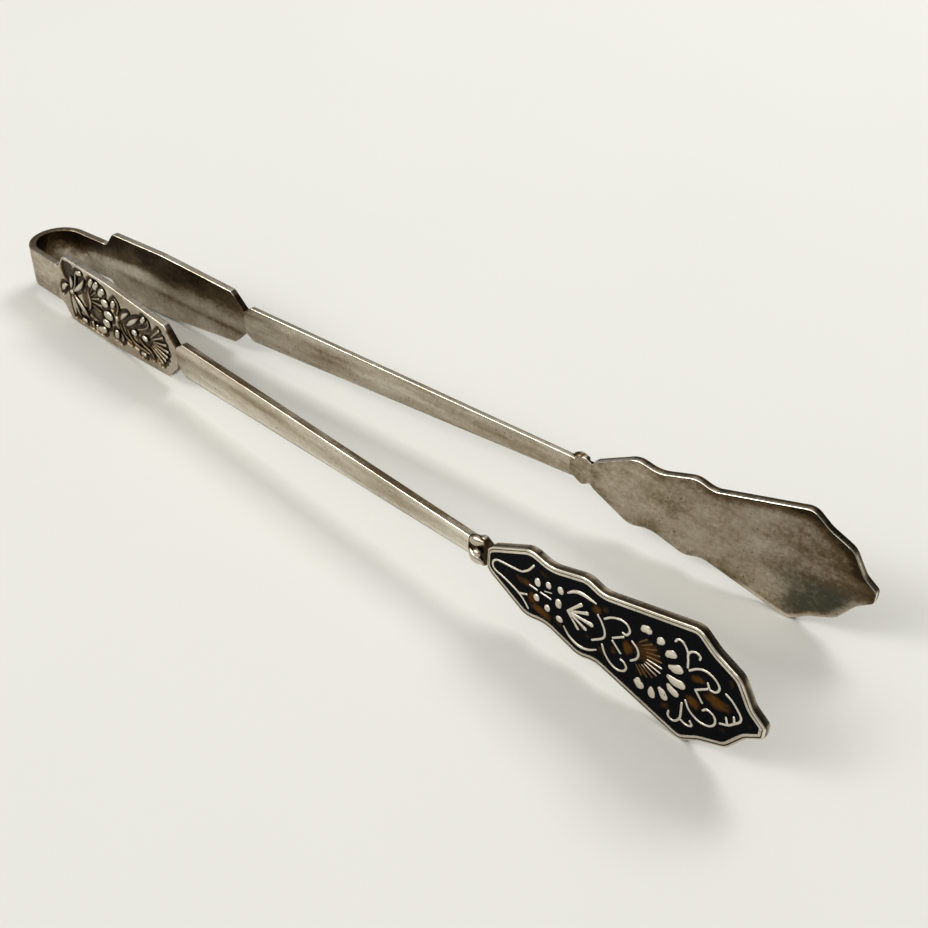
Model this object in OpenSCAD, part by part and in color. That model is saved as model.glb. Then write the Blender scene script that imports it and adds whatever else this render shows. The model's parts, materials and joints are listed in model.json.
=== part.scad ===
// Spring tongs lying on their side. A U-shaped spring bow carries two equal arms.
// Each arm is a struck grip panel, a long tapered shank, a beaded knop and a
// broad blade with a raised rim round an enamelled field. Sizes are in mm.

/* [Overall] */
// Length from the crown of the bow to the blade tips
overall_length = 150; // [140:1:180]
// Thickness of the metal in the bow and both arms
stock = 1.25; // [1.05:0.05:1.5]
// Angle each arm opens outward from the middle when at rest
arm_angle = 3.8; // [3:0.1:4.5]

/* [Spring bow] */
// Radius of the middle line of the bow
bow_radius = 4.5; // [3.8:0.1:5.4]
// Width of the bow strip
bow_width = 6.9; // [5.8:0.1:8]
// Straight strip between the curve and the grip panel
bow_leg = 6.1; // [5:0.1:7.5]

/* [Grip panel] */
// Length of the grip panel from the strip to the neck
panel_length = 33; // [28:0.5:39]
// Width of the panel at its shoulders
panel_width = 12.1; // [10.5:0.1:14.5]
// Width of the panel just before the neck
panel_end_width = 9.6; // [8:0.1:11]
// Width of the neck between panel and shank
neck_width = 4; // [3.3:0.1:4.8]
// Width of the plain border round the struck field
panel_border = 0.75; // [0.6:0.05:0.95]
// Depth of the struck field below the face of the panel
field_depth = 0.35; // [0.25:0.05:0.45]
// Height of the relief above the face of the panel
relief_rise = 0.25; // [0.1:0.05:0.4]

/* [Shank] */
// Width of the shank at its shoulders
shank_width = 6.3; // [5.2:0.1:7.5]
// Width of the shank where it meets the knop
shank_end_width = 3.3; // [2.7:0.1:3.9]
// Chamfer along the outer edges of the shank
shank_chamfer = 0.3; // [0.1:0.05:0.5]

/* [Knop] */
// Length of the knop between shank and blade
knop_length = 3.4; // [2.8:0.1:4.1]
// Width across the two lobes of the knop
knop_width = 5; // [4.4:0.1:6]
// Diameter of the bead on the face of the knop
bead_size = 1.3; // [1:0.05:1.6]

/* [Blade] */
// Length of the blade
blade_length = 41.3; // [34:0.1:50]
// Greatest width of the blade
blade_width = 18.4; // [15.3:0.1:22]
// Width of the raised rim
rim_width = 0.8; // [0.6:0.05:0.95]
// Width of the rim where it crosses the root of the blade
root_rim = 0.35; // [0.25:0.05:0.45]
// Depth of the enamelled field below the top of the rim
tray_depth = 0.5; // [0.35:0.05:0.65]
// Distance of the enamel below the top of the rim
enamel_drop = 0.12; // [0.05:0.01:0.2]

/* [Ornament] */
// Width of the scroll wires
wire_width = 0.34; // [0.25:0.01:0.42]
// Height of wires, petals and beads above the enamel
wire_rise = 0.15; // [0.08:0.01:0.25]

/* [Hidden] */
$fn = 64;

// Place of the bow and of the arms. X runs from the bow to the tips, Y across
// the pair, Z across the width of the arms.
leg_reach = bow_leg * cos(arm_angle);
bow_x = -leg_reach + bow_radius * sin(arm_angle);
arm_y = bow_radius * cos(arm_angle) + bow_leg * sin(arm_angle);
crown_x = bow_x - bow_radius - stock / 2;
arm_length = (overall_length + crown_x - sin(arm_angle) * stock / 2) / cos(arm_angle);
shank_length = arm_length - panel_length - knop_length - blade_length;
shank_s = panel_length;
knop_s = shank_s + shank_length;
blade_s = knop_s + knop_length;

// The ornament is laid out on a blade and a panel of these sizes and follows
// the sizes that are set.
layout_blade = [41.3, 18.4];
layout_panel = [33, 12.1];
blade_scale = [blade_length / layout_blade[0], blade_width / layout_blade[1]];
panel_scale = [panel_length / layout_panel[0], panel_width / layout_panel[1]];

arc_step = 12;      // degrees between points on a rounded corner
bow_facets = 48;    // steps round the curve of the bow
path_steps = 4;     // points between two guide points of a stroke
oval_points = 18;   // points round a petal or a bead
least_corner = 0.15; // smallest radius left on a corner that is moved inward
overcut = 1;        // how far a cutting shape passes the face it cuts

// --- outlines: each corner is [along, across, radius] ---

function unit(v) = v / norm(v);
function turn_of(a, b, c) = (b[0] - a[0]) * (c[1] - b[1]) - (b[1] - a[1]) * (c[0] - b[0]);
function flat_pt(p) = [p[0], p[1]];

// The arc that replaces corner b between its neighbours a and c.
function corner(a, b, c) =
    b[2] <= 0 ? [flat_pt(b)] :
    let (
        to_a = unit(flat_pt(a) - flat_pt(b)),
        to_c = unit(flat_pt(c) - flat_pt(b)),
        half = acos(max(-1, min(1, to_a * to_c))) / 2,
        room = 0.48 * min(norm(flat_pt(a) - flat_pt(b)), norm(flat_pt(c) - flat_pt(b))),
        back = min(b[2] / tan(half), room),
        r = back * tan(half),
        mid = flat_pt(b) + unit(to_a + to_c) * r / sin(half),
        from = flat_pt(b) + to_a * back - mid,
        sweep = (180 - 2 * half) * (turn_of(a, b, c) > 0 ? 1 : -1),
        n = max(2, ceil(abs(sweep) / arc_step))
    )
    [for (i = [0:n]) let (t = sweep * i / n)
        mid + [from[0] * cos(t) - from[1] * sin(t), from[0] * sin(t) + from[1] * cos(t)]];

function rounded(p) = [for (i = [0:len(p) - 1])
    each corner(p[(i + len(p) - 1) % len(p)], p[i], p[(i + 1) % len(p)])];

// A closed outline from its upper half; the lower half is the same, turned over.
function both_sides(half) = concat(half,
    [for (i = [len(half) - 1:-1:0]) [half[i][0], -half[i][1], half[i][2]]]);

// The same corners moved inward by d. The outline runs clockwise.
function inset_corner(a, b, c, d) =
    let (
        e1 = unit(flat_pt(b) - flat_pt(a)),
        e2 = unit(flat_pt(c) - flat_pt(b)),
        n1 = [e1[1], -e1[0]],
        n2 = [e2[1], -e2[0]],
        move = (n1 + n2) * d / (1 + n1 * n2),
        r = turn_of(a, b, c) < 0 ? max(least_corner, b[2] - d) : b[2] + d
    )
    [b[0] + move[0], b[1] + move[1], b[2] > 0 ? r : 0];
function inset(p, d) = [for (i = [0:len(p) - 1])
    inset_corner(p[(i + len(p) - 1) % len(p)], p[i], p[(i + 1) % len(p)], d)];

// Grip panel: strip width, concave shoulder, long taper, chamfer to the neck.
panel_corners = both_sides([
    [0, bow_width / 2, 0],
    [0.036 * panel_length, bow_width / 2, 1.6],
    [0.092 * panel_length, panel_width / 2, 1.1],
    [0.45 * panel_length, panel_width / 2 - 0.05, 30],
    [0.92 * panel_length, panel_end_width / 2, 0.35],
    [panel_length, neck_width / 2, 0]
]);
field_corners = inset(panel_corners, panel_border);

// Blade: root, first shoulder, two waves, widest corner, two waves, blunt tip.
blade_half = blade_width / 2;
root_half = 1.7;        // half the width of the blade's root
root_side_rim = 0.55;   // rim beside the field at the root
blade_corners = both_sides([
    [0, root_half, 0.5],
    [0.016 * blade_length, 0.26 * blade_half, 0.9],
    [0.162 * blade_length, 0.623 * blade_half, 3],
    [0.242 * blade_length, 0.532 * blade_half, 4.5],
    [0.373 * blade_length, 0.723 * blade_half, 3],
    [0.436 * blade_length, 0.63 * blade_half, 3],
    [0.755 * blade_length, 1.02 * blade_half, 2],
    [0.818 * blade_length, 0.802 * blade_half, 5],
    [0.902 * blade_length, 0.623 * blade_half, 2.6],
    [0.952 * blade_length, 0.262 * blade_half, 2.8],
    [blade_length, 0.095 * blade_half, 0.8]
]);
tray_corners = [for (i = [0:len(blade_corners) - 1])
    let (p = inset(blade_corners, rim_width)[i], n = len(blade_corners))
    i == 0 || i == n - 1 ? [root_rim, sign(p[1]) * (root_half - root_side_rim), 0.8] : p];

shank_shoulder = 1.6; // length of the shoulder that widens from the neck
shank_corners = both_sides([
    [0, neck_width / 2, 0],
    [shank_shoulder, shank_width / 2, 0.3],
    [shank_length, shank_end_width / 2, 0]
]);

knop_corners = both_sides([
    [0, shank_end_width / 2, 0],
    [0.2 * knop_length, shank_end_width / 2 - 0.1, 0.3],
    [0.62 * knop_length, knop_width / 2, 0.75],
    [knop_length, root_half, 0]
]);

// --- strokes and ovals ---

function along_curve(a, b, c, d, t) = 0.5 * (2 * b + (c - a) * t
    + (2 * a - 5 * b + 4 * c - d) * t * t + (3 * b - a - 3 * c + d) * t * t * t);
function at(p, i) = i < 0 ? 2 * p[0] - p[1]
    : i >= len(p) ? 2 * p[len(p) - 1] - p[len(p) - 2] : p[i];
function smooth_path(p) = concat(
    [for (i = [0:len(p) - 2], k = [0:path_steps - 1])
        along_curve(at(p, i - 1), p[i], p[i + 1], at(p, i + 2), k / path_steps)],
    [p[len(p) - 1]]);
function side_of(q, i) =
    let (d = unit(q[min(i + 1, len(q) - 1)] - q[max(i - 1, 0)])) [-d[1], d[0]];

// Guide points as they fall on the panel or the blade that is being decorated.
function laid(p) = [p[0] * $layout[0], p[1] * $layout[1]];
function laid_all(points) = [for (p = points) laid(p)];

// A stroke along guide points, w_end wide at its ends and w_mid in the middle.
// It grows thinner with its layout, so that its tight bends stay open.
module stroke(points, w_end, w_mid) {
    q = smooth_path(laid_all(points));
    n = len(q) - 1;
    k = min(1, $layout[0], $layout[1]);
    w = [for (i = [0:n]) k * (w_end + (w_mid - w_end) * sin(180 * i / n))];
    polygon(concat(
        [for (i = [0:n]) q[i] + side_of(q, i) * w[i] / 2],
        [for (i = [n:-1:0]) q[i] - side_of(q, i) * w[i] / 2]));
}
module wire(points) stroke(points, wire_width, wire_width);

// A straight ray that widens from w_from to a round end w_to wide.
module ray(from, to, w_from, w_to) {
    a = laid(from);
    b = laid(to);
    d = unit(b - a);
    side = [-d[1], d[0]];
    polygon(concat(
        [a + side * w_from / 2],
        [for (t = [0:2 * arc_step:180]) b + (side * cos(t) + d * sin(t)) * w_to / 2],
        [a - side * w_from / 2]));
}

// A petal: centre, half length, half width, turn.
module oval(place, a, b, turn = 0) {
    translate(laid(place)) rotate(turn)
        polygon([for (i = [0:oval_points - 1]) let (t = 360 * i / oval_points)
            [a * cos(t) * $layout[0], b * sin(t) * $layout[0]]]);
}

// A pocket of enamel with round ends: centre, half length, half width.
module cell(place, a, b) {
    c = laid(place);
    h = laid([a, b]);
    r = 0.9 * min(h[0], h[1]);
    polygon(rounded([for (k = [[-1, 1], [1, 1], [1, -1], [-1, -1]])
        [c[0] + k[0] * h[0], c[1] + k[1] * h[1], r]]));
}

// --- placing: an arm is drawn with its outer face toward -Y ---

// A flat shape drawn along the arm, from one depth to another above the inner face.
module slab(from, to) {
    translate([0, stock / 2 - from, 0]) rotate([90, 0, 0])
        linear_extrude(to - from) children();
}

function top_corner(p) = [for (q = p) if (q[1] == max([for (k = p) k[1]])) q][0];
panel_top = top_corner(rounded(panel_corners));
blade_top = top_corner(rounded(blade_corners)) + [blade_s, 0];
rest_tilt = -atan((blade_top[1] - panel_top[1])
    / ((blade_top[0] - panel_top[0]) * cos(arm_angle)));
rest_lift = blade_top[1] * cos(rest_tilt) + blade_top[0] * cos(arm_angle) * sin(rest_tilt);
rest_back = crown_x * cos(rest_tilt) + bow_width / 2 * sin(rest_tilt);
rest_front = (crown_x + overall_length) * cos(rest_tilt);
rest_shift = -(rest_back + rest_front) / 2;

// Lays the tongs on the lower edges of their blades and panels.
module at_rest() {
    translate([rest_shift, 0, rest_lift]) rotate([0, rest_tilt, 0]) children();
}
module front() {
    at_rest() translate([0, -arm_y, 0]) rotate([0, 0, -arm_angle]) children();
}
module rear() {
    at_rest() rotate([180, 0, 0]) translate([0, -arm_y, 0])
        rotate([0, 0, -arm_angle]) children();
}

// --- the spring ---

// Half turn of the bow from the rear leg to the front one, r from its centre.
function bow_arc(r) = [for (i = [0:bow_facets])
    let (t = 90 + arm_angle + (180 - 2 * arm_angle) * i / bow_facets)
    [bow_x + r * cos(t), r * sin(t)]];
function leg_end(out) = [-sin(arm_angle) * out, arm_y + cos(arm_angle) * out];

module bow_shape() {
    outer = leg_end(stock / 2);
    inner = leg_end(-stock / 2);
    arc_in = bow_arc(bow_radius - stock / 2);
    translate([0, 0, -bow_width / 2]) linear_extrude(bow_width)
        polygon(concat([inner, outer], bow_arc(bow_radius + stock / 2),
            [[outer[0], -outer[1]], [inner[0], -inner[1]]],
            [for (i = [bow_facets:-1:0]) arc_in[i]]));
}

// --- parts of an arm ---

floor_level = stock - field_depth;
relief_top = stock + relief_rise;

module panel_shape() {
    difference() {
        slab(0, stock) polygon(rounded(panel_corners));
        slab(floor_level, stock + overcut) polygon(rounded(field_corners));
    }
}

// Each child stands on the floor of the struck field, laid out on the panel.
module relief() {
    $layout = panel_scale;
    for (i = [0:$children - 1]) slab(floor_level, relief_top) children(i);
}

stem_width = 0.36;
leaf_point = 0.16;  // width of a leaf at its ends

// Stems and leaves that spread from a knot near the bow.
module foliage_shape() relief() {
    oval([4.3, -0.2], 0.5, 0.5);
    stroke([[1.4, -1.1], [1.8, -0.3], [2.5, 0.4], [3.2, 0.6]], leaf_point, 0.95);
    stroke([[4.3, 0], [5.2, 1], [5.9, 2.6], [6.3, 4], [6.9, 4.6]], stem_width, stem_width);
    oval([7.5, 4.5], 0.8, 0.5, 20);
    stroke([[4.1, 0.2], [4.6, 1.8], [4.5, 3.1]], leaf_point, 0.7);
    stroke([[4.6, -0.1], [7.3, 2.1], [8.7, 3.9]], leaf_point, 0.9);
    stroke([[8.4, -2.1], [9.3, -1.1], [9.6, 0.4], [9.4, 1.7], [9.8, 2.7]], leaf_point, 0.5);
    stroke([[4.5, -0.4], [6.5, -1.8], [8.6, -3.7]], leaf_point, 0.9);
    stroke([[4.3, -0.5], [5.2, -3], [5.8, -4.8]], leaf_point, 0.6);
    stroke([[4.1, -0.4], [4.4, -3], [4.3, -4.8]], leaf_point, 0.8);
    oval([6.9, -4.6], 0.7, 0.4);
}

// Petals round a half shell of rays.
module flower_shape() relief() {
    oval([10.7, 4.1], 0.95, 0.45, 55);
    oval([12.1, 4.1], 1, 0.5, 50);
    oval([13.6, 3.5], 1.1, 0.6, 45);
    oval([14.2, 1.8], 0.85, 0.8);
    oval([14.8, -0.2], 1.15, 0.8);
    oval([13.8, -2.1], 0.85, 0.85);
    oval([12.3, -4], 1.15, 0.65, 20);
    oval([10.6, -4.4], 0.45, 0.6);
    oval([9.4, -4.2], 0.35, 0.6);
    oval([11.4, -1.5], 1.5, 1.15);
    ray([10.1, 0.4], [12.9, 0.7], 0.3, 0.5);
    ray([10.1, 0.9], [12.4, 1.8], 0.3, 0.45);
    ray([10, 1.4], [11.7, 2.7], 0.25, 0.4);
    ray([9.9, 1.9], [10.8, 3], 0.2, 0.35);
}

// Buds, leaves and stems in the middle of the panel.
module sprigs_shape() relief() {
    oval([16.6, 2.6], 0.5, 0.85, -30);
    stroke([[17.3, 3.8], [17.9, 3.1], [17.8, 2], [17.2, 1.1]], stem_width, stem_width);
    oval([16.5, -3], 0.55, 0.9, -15);
    stroke([[17.7, -2.4], [18.1, -3.3], [17.4, -4]], leaf_point, 0.5);
    stroke([[18.1, 0.3], [19.2, 1.6], [20.8, 2.8]], leaf_point, 0.8);
    stroke([[19.5, -0.2], [21.2, 1.2], [23.5, 3]], leaf_point, 0.85);
    stroke([[23, 0.7], [25, 1.7], [26, 2.6], [25.9, 3.4]], stem_width, stem_width);
    oval([24.7, 3.2], 0.8, 0.4, 50);
    stroke([[17.9, -0.7], [18.4, -1.8], [19.2, -2.6], [20.4, -2.9]], stem_width, stem_width);
    stroke([[19.9, -0.8], [20.5, -1.9], [21.6, -2.6], [23.6, -2.8], [25.3, -2.9]],
        stem_width, stem_width);
    stroke([[22.9, -1.2], [24, -1.9], [25.6, -2.3], [26.4, -3]], stem_width, stem_width);
    oval([23.6, -3.6], 0.7, 0.35, 6);
}

// A fan of rays that opens toward the neck, with two bosses at its root.
module shell_shape() relief() {
    oval([21.8, -0.4], 0.6, 0.6);
    oval([24.7, -0.2], 0.7, 0.5);
    ray([26.1, 0.5], [28.8, 3], 0.25, 0.5);
    ray([26.5, 0.4], [29.6, 2.1], 0.25, 0.5);
    ray([26.9, 0.2], [30.2, 1], 0.25, 0.5);
    ray([26.9, -0.1], [30.6, -0.1], 0.25, 0.5);
    ray([26.9, -0.5], [30.2, -1.2], 0.25, 0.5);
    ray([26.5, -0.8], [29.6, -2.1], 0.25, 0.5);
    ray([26.1, -1.2], [28.8, -2.9], 0.25, 0.5);
}

module shank_shape() {
    taper = atan((shank_width - shank_end_width) / 2 / (shank_length - shank_shoulder));
    difference() {
        slab(0, stock) translate([shank_s, 0]) polygon(rounded(shank_corners));
        for (s = [-1, 1])
            translate([shank_s, -stock / 2, s * shank_width / 2])
                rotate([0, s * taper, 0]) rotate([45, 0, 0])
                    cube([2.5 * shank_length, shank_chamfer * sqrt(2), shank_chamfer * sqrt(2)],
                        center = true);
    }
}

module knop_shape() {
    groove_from = 0.74 * knop_length;
    groove_to = 0.93 * knop_length;
    groove_depth = 0.4 * stock;
    translate([knop_s, 0, 0]) {
        difference() {
            slab(0, stock) polygon(rounded(knop_corners));
            slab(stock - groove_depth, stock + overcut)
                translate([groove_from, -knop_width]) square([groove_to - groove_from, 2 * knop_width]);
        }
        translate([0.45 * knop_length, -stock / 2, 0]) sphere(d = bead_size);
    }
}

module on_blade(from, to) {
    slab(from, to) translate([blade_s, 0]) children();
}
tray_level = stock - tray_depth;
enamel_level = stock - enamel_drop;
wire_level = enamel_level + wire_rise;

module blade_shape() {
    difference() {
        on_blade(0, stock) polygon(rounded(blade_corners));
        on_blade(tray_level, stock + overcut) polygon(rounded(tray_corners));
    }
}

// Amber pockets in the black ground: centre, half length, half width.
amber_places = [
    [[6.3, -0.2], 1.6, 0.5], [[8.9, -3], 1.5, 0.55], [[8.9, 3], 0.8, 0.4],
    [[17.2, 2.8], 0.6, 0.45], [[22.2, -0.2], 0.55, 1.1], [[20.3, -1.5], 0.4, 0.55],
    [[25, 0], 1.7, 1.7], [[31.9, 1.8], 0.9, 0.65], [[32, -2.3], 1.1, 0.85],
    [[35, 0.1], 1.7, 0.9], [[36, 3.6], 0.5, 0.8], [[29, -5.3], 0.9, 0.45]
];
module amber_cells(from, to) {
    $layout = blade_scale;
    for (p = amber_places) on_blade(from, to) cell(p[0], p[1], p[2]);
}

module black_enamel_shape() difference() {
    on_blade(tray_level, enamel_level) polygon(rounded(tray_corners));
    amber_cells(tray_level - overcut, enamel_level + overcut);
}
module amber_enamel_shape() amber_cells(tray_level, enamel_level);

// Each child stands on the enamel, laid out on the blade.
module inlay() {
    $layout = blade_scale;
    for (i = [0:$children - 1]) on_blade(enamel_level, wire_level) children(i);
}

module scroll_shape() inlay() {
    // hairpin round the root, with its barb
    wire([[7.4, 3.4], [6.8, 2.4], [6.2, 1.75], [5.2, 1.15], [2.3, 0.75], [1.3, 0.5],
        [0.8, -0.3], [1.2, -1.2], [3.1, -1.7], [5.2, -2.5], [6.3, -3.3], [7, -4.1]]);
    wire([[5.4, -2.6], [5.9, -2.3], [6.6, -2]]);
    // dashes along the middle
    wire([[7, -0.1], [8.2, -0.2]]);
    wire([[8.8, -0.2], [10.4, -0.25]]);
    wire([[9.4, 0.4], [10.5, 0.8]]);
    // leaves above and below the small fan
    stroke([[12.9, 2.5], [13.9, 3.4], [15.1, 3.75], [17.1, 3.6]], wire_width, 0.6);
    stroke([[12.8, -3.3], [13.9, -4.4], [15.4, -4.9], [16.8, -4.5], [17.9, -3.7]], wire_width, 0.5);
    // bracket after the fan
    wire([[17.6, 2], [18.3, 1.2], [18.85, 0], [18.7, -1.1], [17.2, -2.5]]);
    // pair of scrolls with a chevron between them
    wire([[18.6, 2.1], [19.6, 3], [20.9, 3.5], [21.9, 3.3], [22.3, 2.5], [21.9, 1.7], [21.4, 1.7]]);
    wire([[18.7, -2.2], [19.2, -3.3], [20.2, -4.3], [21.2, -4.65], [22.2, -4.2],
        [22.5, -3.4], [22.1, -2.8], [21.6, -2.7]]);
    wire([[21.5, 1.1], [20.1, -0.05]]);
    wire([[20.1, -0.55], [21.4, -1.7]]);
    // crescent before the flower
    wire([[22.8, 1.3], [23.6, 0.7], [23.9, -0.15], [23.7, -1], [23, -1.8]]);
    // tendrils above and below the flower
    wire([[30.5, 2.7], [30.4, 3.7], [30.25, 4.6], [30.6, 5.3], [31.2, 5.6], [31.8, 5.4], [31.8, 4.9]]);
    wire([[30.3, 4.6], [29.9, 5.4], [29.3, 5.95], [28.7, 5.95], [28.4, 5.4]]);
    wire([[30.6, -3.3], [30.7, -4.7], [30.7, -5.8], [30.2, -6.7], [29.6, -6.9], [29.1, -6.5],
        [29.1, -5.9]]);
    wire([[30.7, -5.9], [31.5, -6.2], [32.1, -6.1], [32.4, -5.7], [32.1, -5.3]]);
    // hooks beside the tip
    wire([[30.8, 2.4], [31.8, 3.4], [33, 3.8], [34.2, 3.4], [34.85, 2.6], [34.6, 1.7],
        [33.8, 1.45], [33.35, 2.2]]);
    wire([[31, -2.5], [31.6, -3.5], [32.6, -4.2], [33.6, -4.4], [34.7, -4], [35.2, -3.1],
        [34.9, -2.1], [33.9, -1.8], [33.4, -2.3]]);
    wire([[33.4, 1.3], [32, 0.1]]);
    wire([[32, 0.05], [33.1, -1.2]]);
    // wavy leaf at the tip, with its ticks
    wire([[35.8, 2.3], [36.6, 1.9], [37.4, 1.2], [38.1, 0.3], [38.1, -0.5], [37.5, -1.3],
        [36.8, -2.1], [35.8, -2.6]]);
    wire([[37.3, -0.4], [37.5, -1.2]]);
    wire([[36.4, -1.2], [36.7, -2.1]]);
}

// Distance from a point to a circle, measured in the direction of an angle.
function reach(from, angle, centre, r) =
    let (d = centre - from, u = [cos(angle), sin(angle)], m = d * u)
    m + sqrt(r * r - d * d + m * m);

// The rays start toward ray_root; each ring is [centre, radius].
fan_root = [13.1, -0.4];
ray_root = [22.2, 0];
ray_spread = 50;
ray_count = 11;
ray_width = 0.28;
inner_ring = [[23.3, 0], 1.85];
outer_ring = [[24.2, 0], 3];

module enamel_flower_shape() {
    // rays of the large flower, between two circles that are not concentric
    for (i = [0:ray_count - 1]) {
        angle = ray_spread * (2 * i / (ray_count - 1) - 1);
        u = [cos(angle), sin(angle)];
        inlay() ray(ray_root + u * reach(ray_root, angle, inner_ring[0], inner_ring[1]),
            ray_root + u * reach(ray_root, angle, outer_ring[0], outer_ring[1]),
            ray_width / 2, ray_width);
    }
    inlay() {
        // small fan of clubs
        ray(fan_root, [15, 1.9], wire_width, 0.6);
        ray(fan_root, [16, 1.15], wire_width, 0.6);
        ray(fan_root, [16.8, -0.2], wire_width, 0.7);
        ray(fan_root, [16, -1.5], wire_width, 0.55);
        ray(fan_root, [14.9, -2.2], wire_width, 0.5);
        // petals of the large flower
        oval([24.3, 4.3], 0.95, 0.62, 30);
        oval([26.45, 3.9], 0.75, 0.55, 60);
        oval([28, 2.9], 1, 0.6, 42);
        oval([28.9, 1.3], 1.2, 0.66, 22);
        oval([29.2, -0.6], 1.45, 0.68, -3);
        oval([29, -2.2], 1.1, 0.58, -30);
        oval([27.8, -3.7], 1.05, 0.6, -48);
        oval([26.4, -4.6], 0.95, 0.55, -80);
        oval([24.5, -4.4], 0.95, 0.72, -65);
    }
}

module seeds_shape() inlay() {
    oval([8.2, 1.1], 0.5, 0.65);
    oval([9.9, 1.7], 0.45, 0.55);
    oval([11.8, 2.1], 0.5, 0.6);
    oval([11.65, -0.2], 0.5, 0.75);
    oval([8.2, -1.5], 0.5, 0.55);
    oval([10, -2.1], 0.5, 0.55);
    oval([12, -2.6], 0.52, 0.52);
}

// --- colours and named parts ---

silver = [0.66, 0.63, 0.57];
dark_silver = [0.5, 0.47, 0.42];
bright_silver = [0.76, 0.74, 0.68];
black_glass = [0.06, 0.06, 0.07];
amber_glass = [0.43, 0.27, 0.08];

module spring_bow() color(dark_silver) at_rest() bow_shape();

module front_grip_panel() color(dark_silver) front() panel_shape();
module front_panel_foliage() color(silver) front() foliage_shape();
module front_panel_flower() color(bright_silver) front() flower_shape();
module front_panel_sprigs() color(silver) front() sprigs_shape();
module front_panel_shell() color(bright_silver) front() shell_shape();
module front_shank() color(silver) front() shank_shape();
module front_knop() color(dark_silver) front() knop_shape();
module front_blade() color(silver) front() blade_shape();
module front_black_enamel() color(black_glass) front() black_enamel_shape();
module front_amber_enamel() color(amber_glass) front() amber_enamel_shape();
module front_scroll_wires() color(bright_silver) front() scroll_shape();
module front_enamel_flower() color(bright_silver) front() enamel_flower_shape();
module front_seed_beads() color(bright_silver) front() seeds_shape();

module rear_grip_panel() color(dark_silver) rear() panel_shape();
module rear_panel_foliage() color(silver) rear() foliage_shape();
module rear_panel_flower() color(bright_silver) rear() flower_shape();
module rear_panel_sprigs() color(silver) rear() sprigs_shape();
module rear_panel_shell() color(bright_silver) rear() shell_shape();
module rear_shank() color(silver) rear() shank_shape();
module rear_knop() color(dark_silver) rear() knop_shape();
module rear_blade() color(silver) rear() blade_shape();
module rear_black_enamel() color(black_glass) rear() black_enamel_shape();
module rear_amber_enamel() color(amber_glass) rear() amber_enamel_shape();
module rear_scroll_wires() color(bright_silver) rear() scroll_shape();
module rear_enamel_flower() color(bright_silver) rear() enamel_flower_shape();
module rear_seed_beads() color(bright_silver) rear() seeds_shape();

spring_bow();
front_grip_panel();
front_panel_foliage();
front_panel_flower();
front_panel_sprigs();
front_panel_shell();
front_shank();
front_knop();
front_blade();
front_black_enamel();
front_amber_enamel();
front_scroll_wires();
front_enamel_flower();
front_seed_beads();
rear_grip_panel();
rear_panel_foliage();
rear_panel_flower();
rear_panel_sprigs();
rear_panel_shell();
rear_shank();
rear_knop();
rear_blade();
rear_black_enamel();
rear_amber_enamel();
rear_scroll_wires();
rear_enamel_flower();
rear_seed_beads();
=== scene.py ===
"""Spring tongs of aged silver with enamelled blades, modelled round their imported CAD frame.

Every piece of an arm is drawn flat, as on a bench: X along the arm from the end of the
spring strip, Y across its width, Z out from its inner face, all in millimetres. It is
then stood up on the front arm and on the rear arm, which are the same piece turned half
round the long axis of the tongs.
"""

import json
import math
from contextlib import contextmanager

import bpy
import numpy as np
from mathutils import Matrix, Vector


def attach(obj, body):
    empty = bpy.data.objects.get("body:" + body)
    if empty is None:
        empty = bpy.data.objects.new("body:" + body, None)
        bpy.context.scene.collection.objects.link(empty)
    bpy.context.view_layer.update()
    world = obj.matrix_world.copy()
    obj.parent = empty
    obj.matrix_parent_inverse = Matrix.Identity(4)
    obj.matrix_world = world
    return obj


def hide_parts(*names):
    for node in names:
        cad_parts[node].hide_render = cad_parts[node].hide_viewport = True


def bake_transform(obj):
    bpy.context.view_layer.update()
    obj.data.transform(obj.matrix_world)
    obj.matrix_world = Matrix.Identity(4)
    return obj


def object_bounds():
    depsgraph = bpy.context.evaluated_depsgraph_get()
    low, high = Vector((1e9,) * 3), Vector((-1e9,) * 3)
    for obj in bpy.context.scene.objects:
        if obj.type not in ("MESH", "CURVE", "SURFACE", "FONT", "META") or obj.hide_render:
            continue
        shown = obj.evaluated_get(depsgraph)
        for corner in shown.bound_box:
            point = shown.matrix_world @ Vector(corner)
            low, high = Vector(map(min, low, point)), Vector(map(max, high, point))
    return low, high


bl_info = {
    "name": "Enamelled Spring Tongs",
    "version": (1, 0, 0),
    "blender": (4, 5, 0),
    "location": "View3D > Sidebar > Tongs",
    "description": "Models silver spring tongs with struck grip panels and enamelled blades",
    "category": "Add Mesh",
}

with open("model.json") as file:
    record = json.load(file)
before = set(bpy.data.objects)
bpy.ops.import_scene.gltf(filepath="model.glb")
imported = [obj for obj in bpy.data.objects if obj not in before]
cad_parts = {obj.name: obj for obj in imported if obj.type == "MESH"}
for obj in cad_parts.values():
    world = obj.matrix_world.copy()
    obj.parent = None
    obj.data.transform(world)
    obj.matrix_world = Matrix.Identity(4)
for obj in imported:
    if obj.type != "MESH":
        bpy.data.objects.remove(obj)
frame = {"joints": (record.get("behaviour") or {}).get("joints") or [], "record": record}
CAD_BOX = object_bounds()
MOUNTS = {m["name"]: m for m in frame["record"]["mounts"]}
JOINTS = {j["name"]: j for j in frame["joints"]}

MM = 0.001
SIDES = ("front", "rear")

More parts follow.
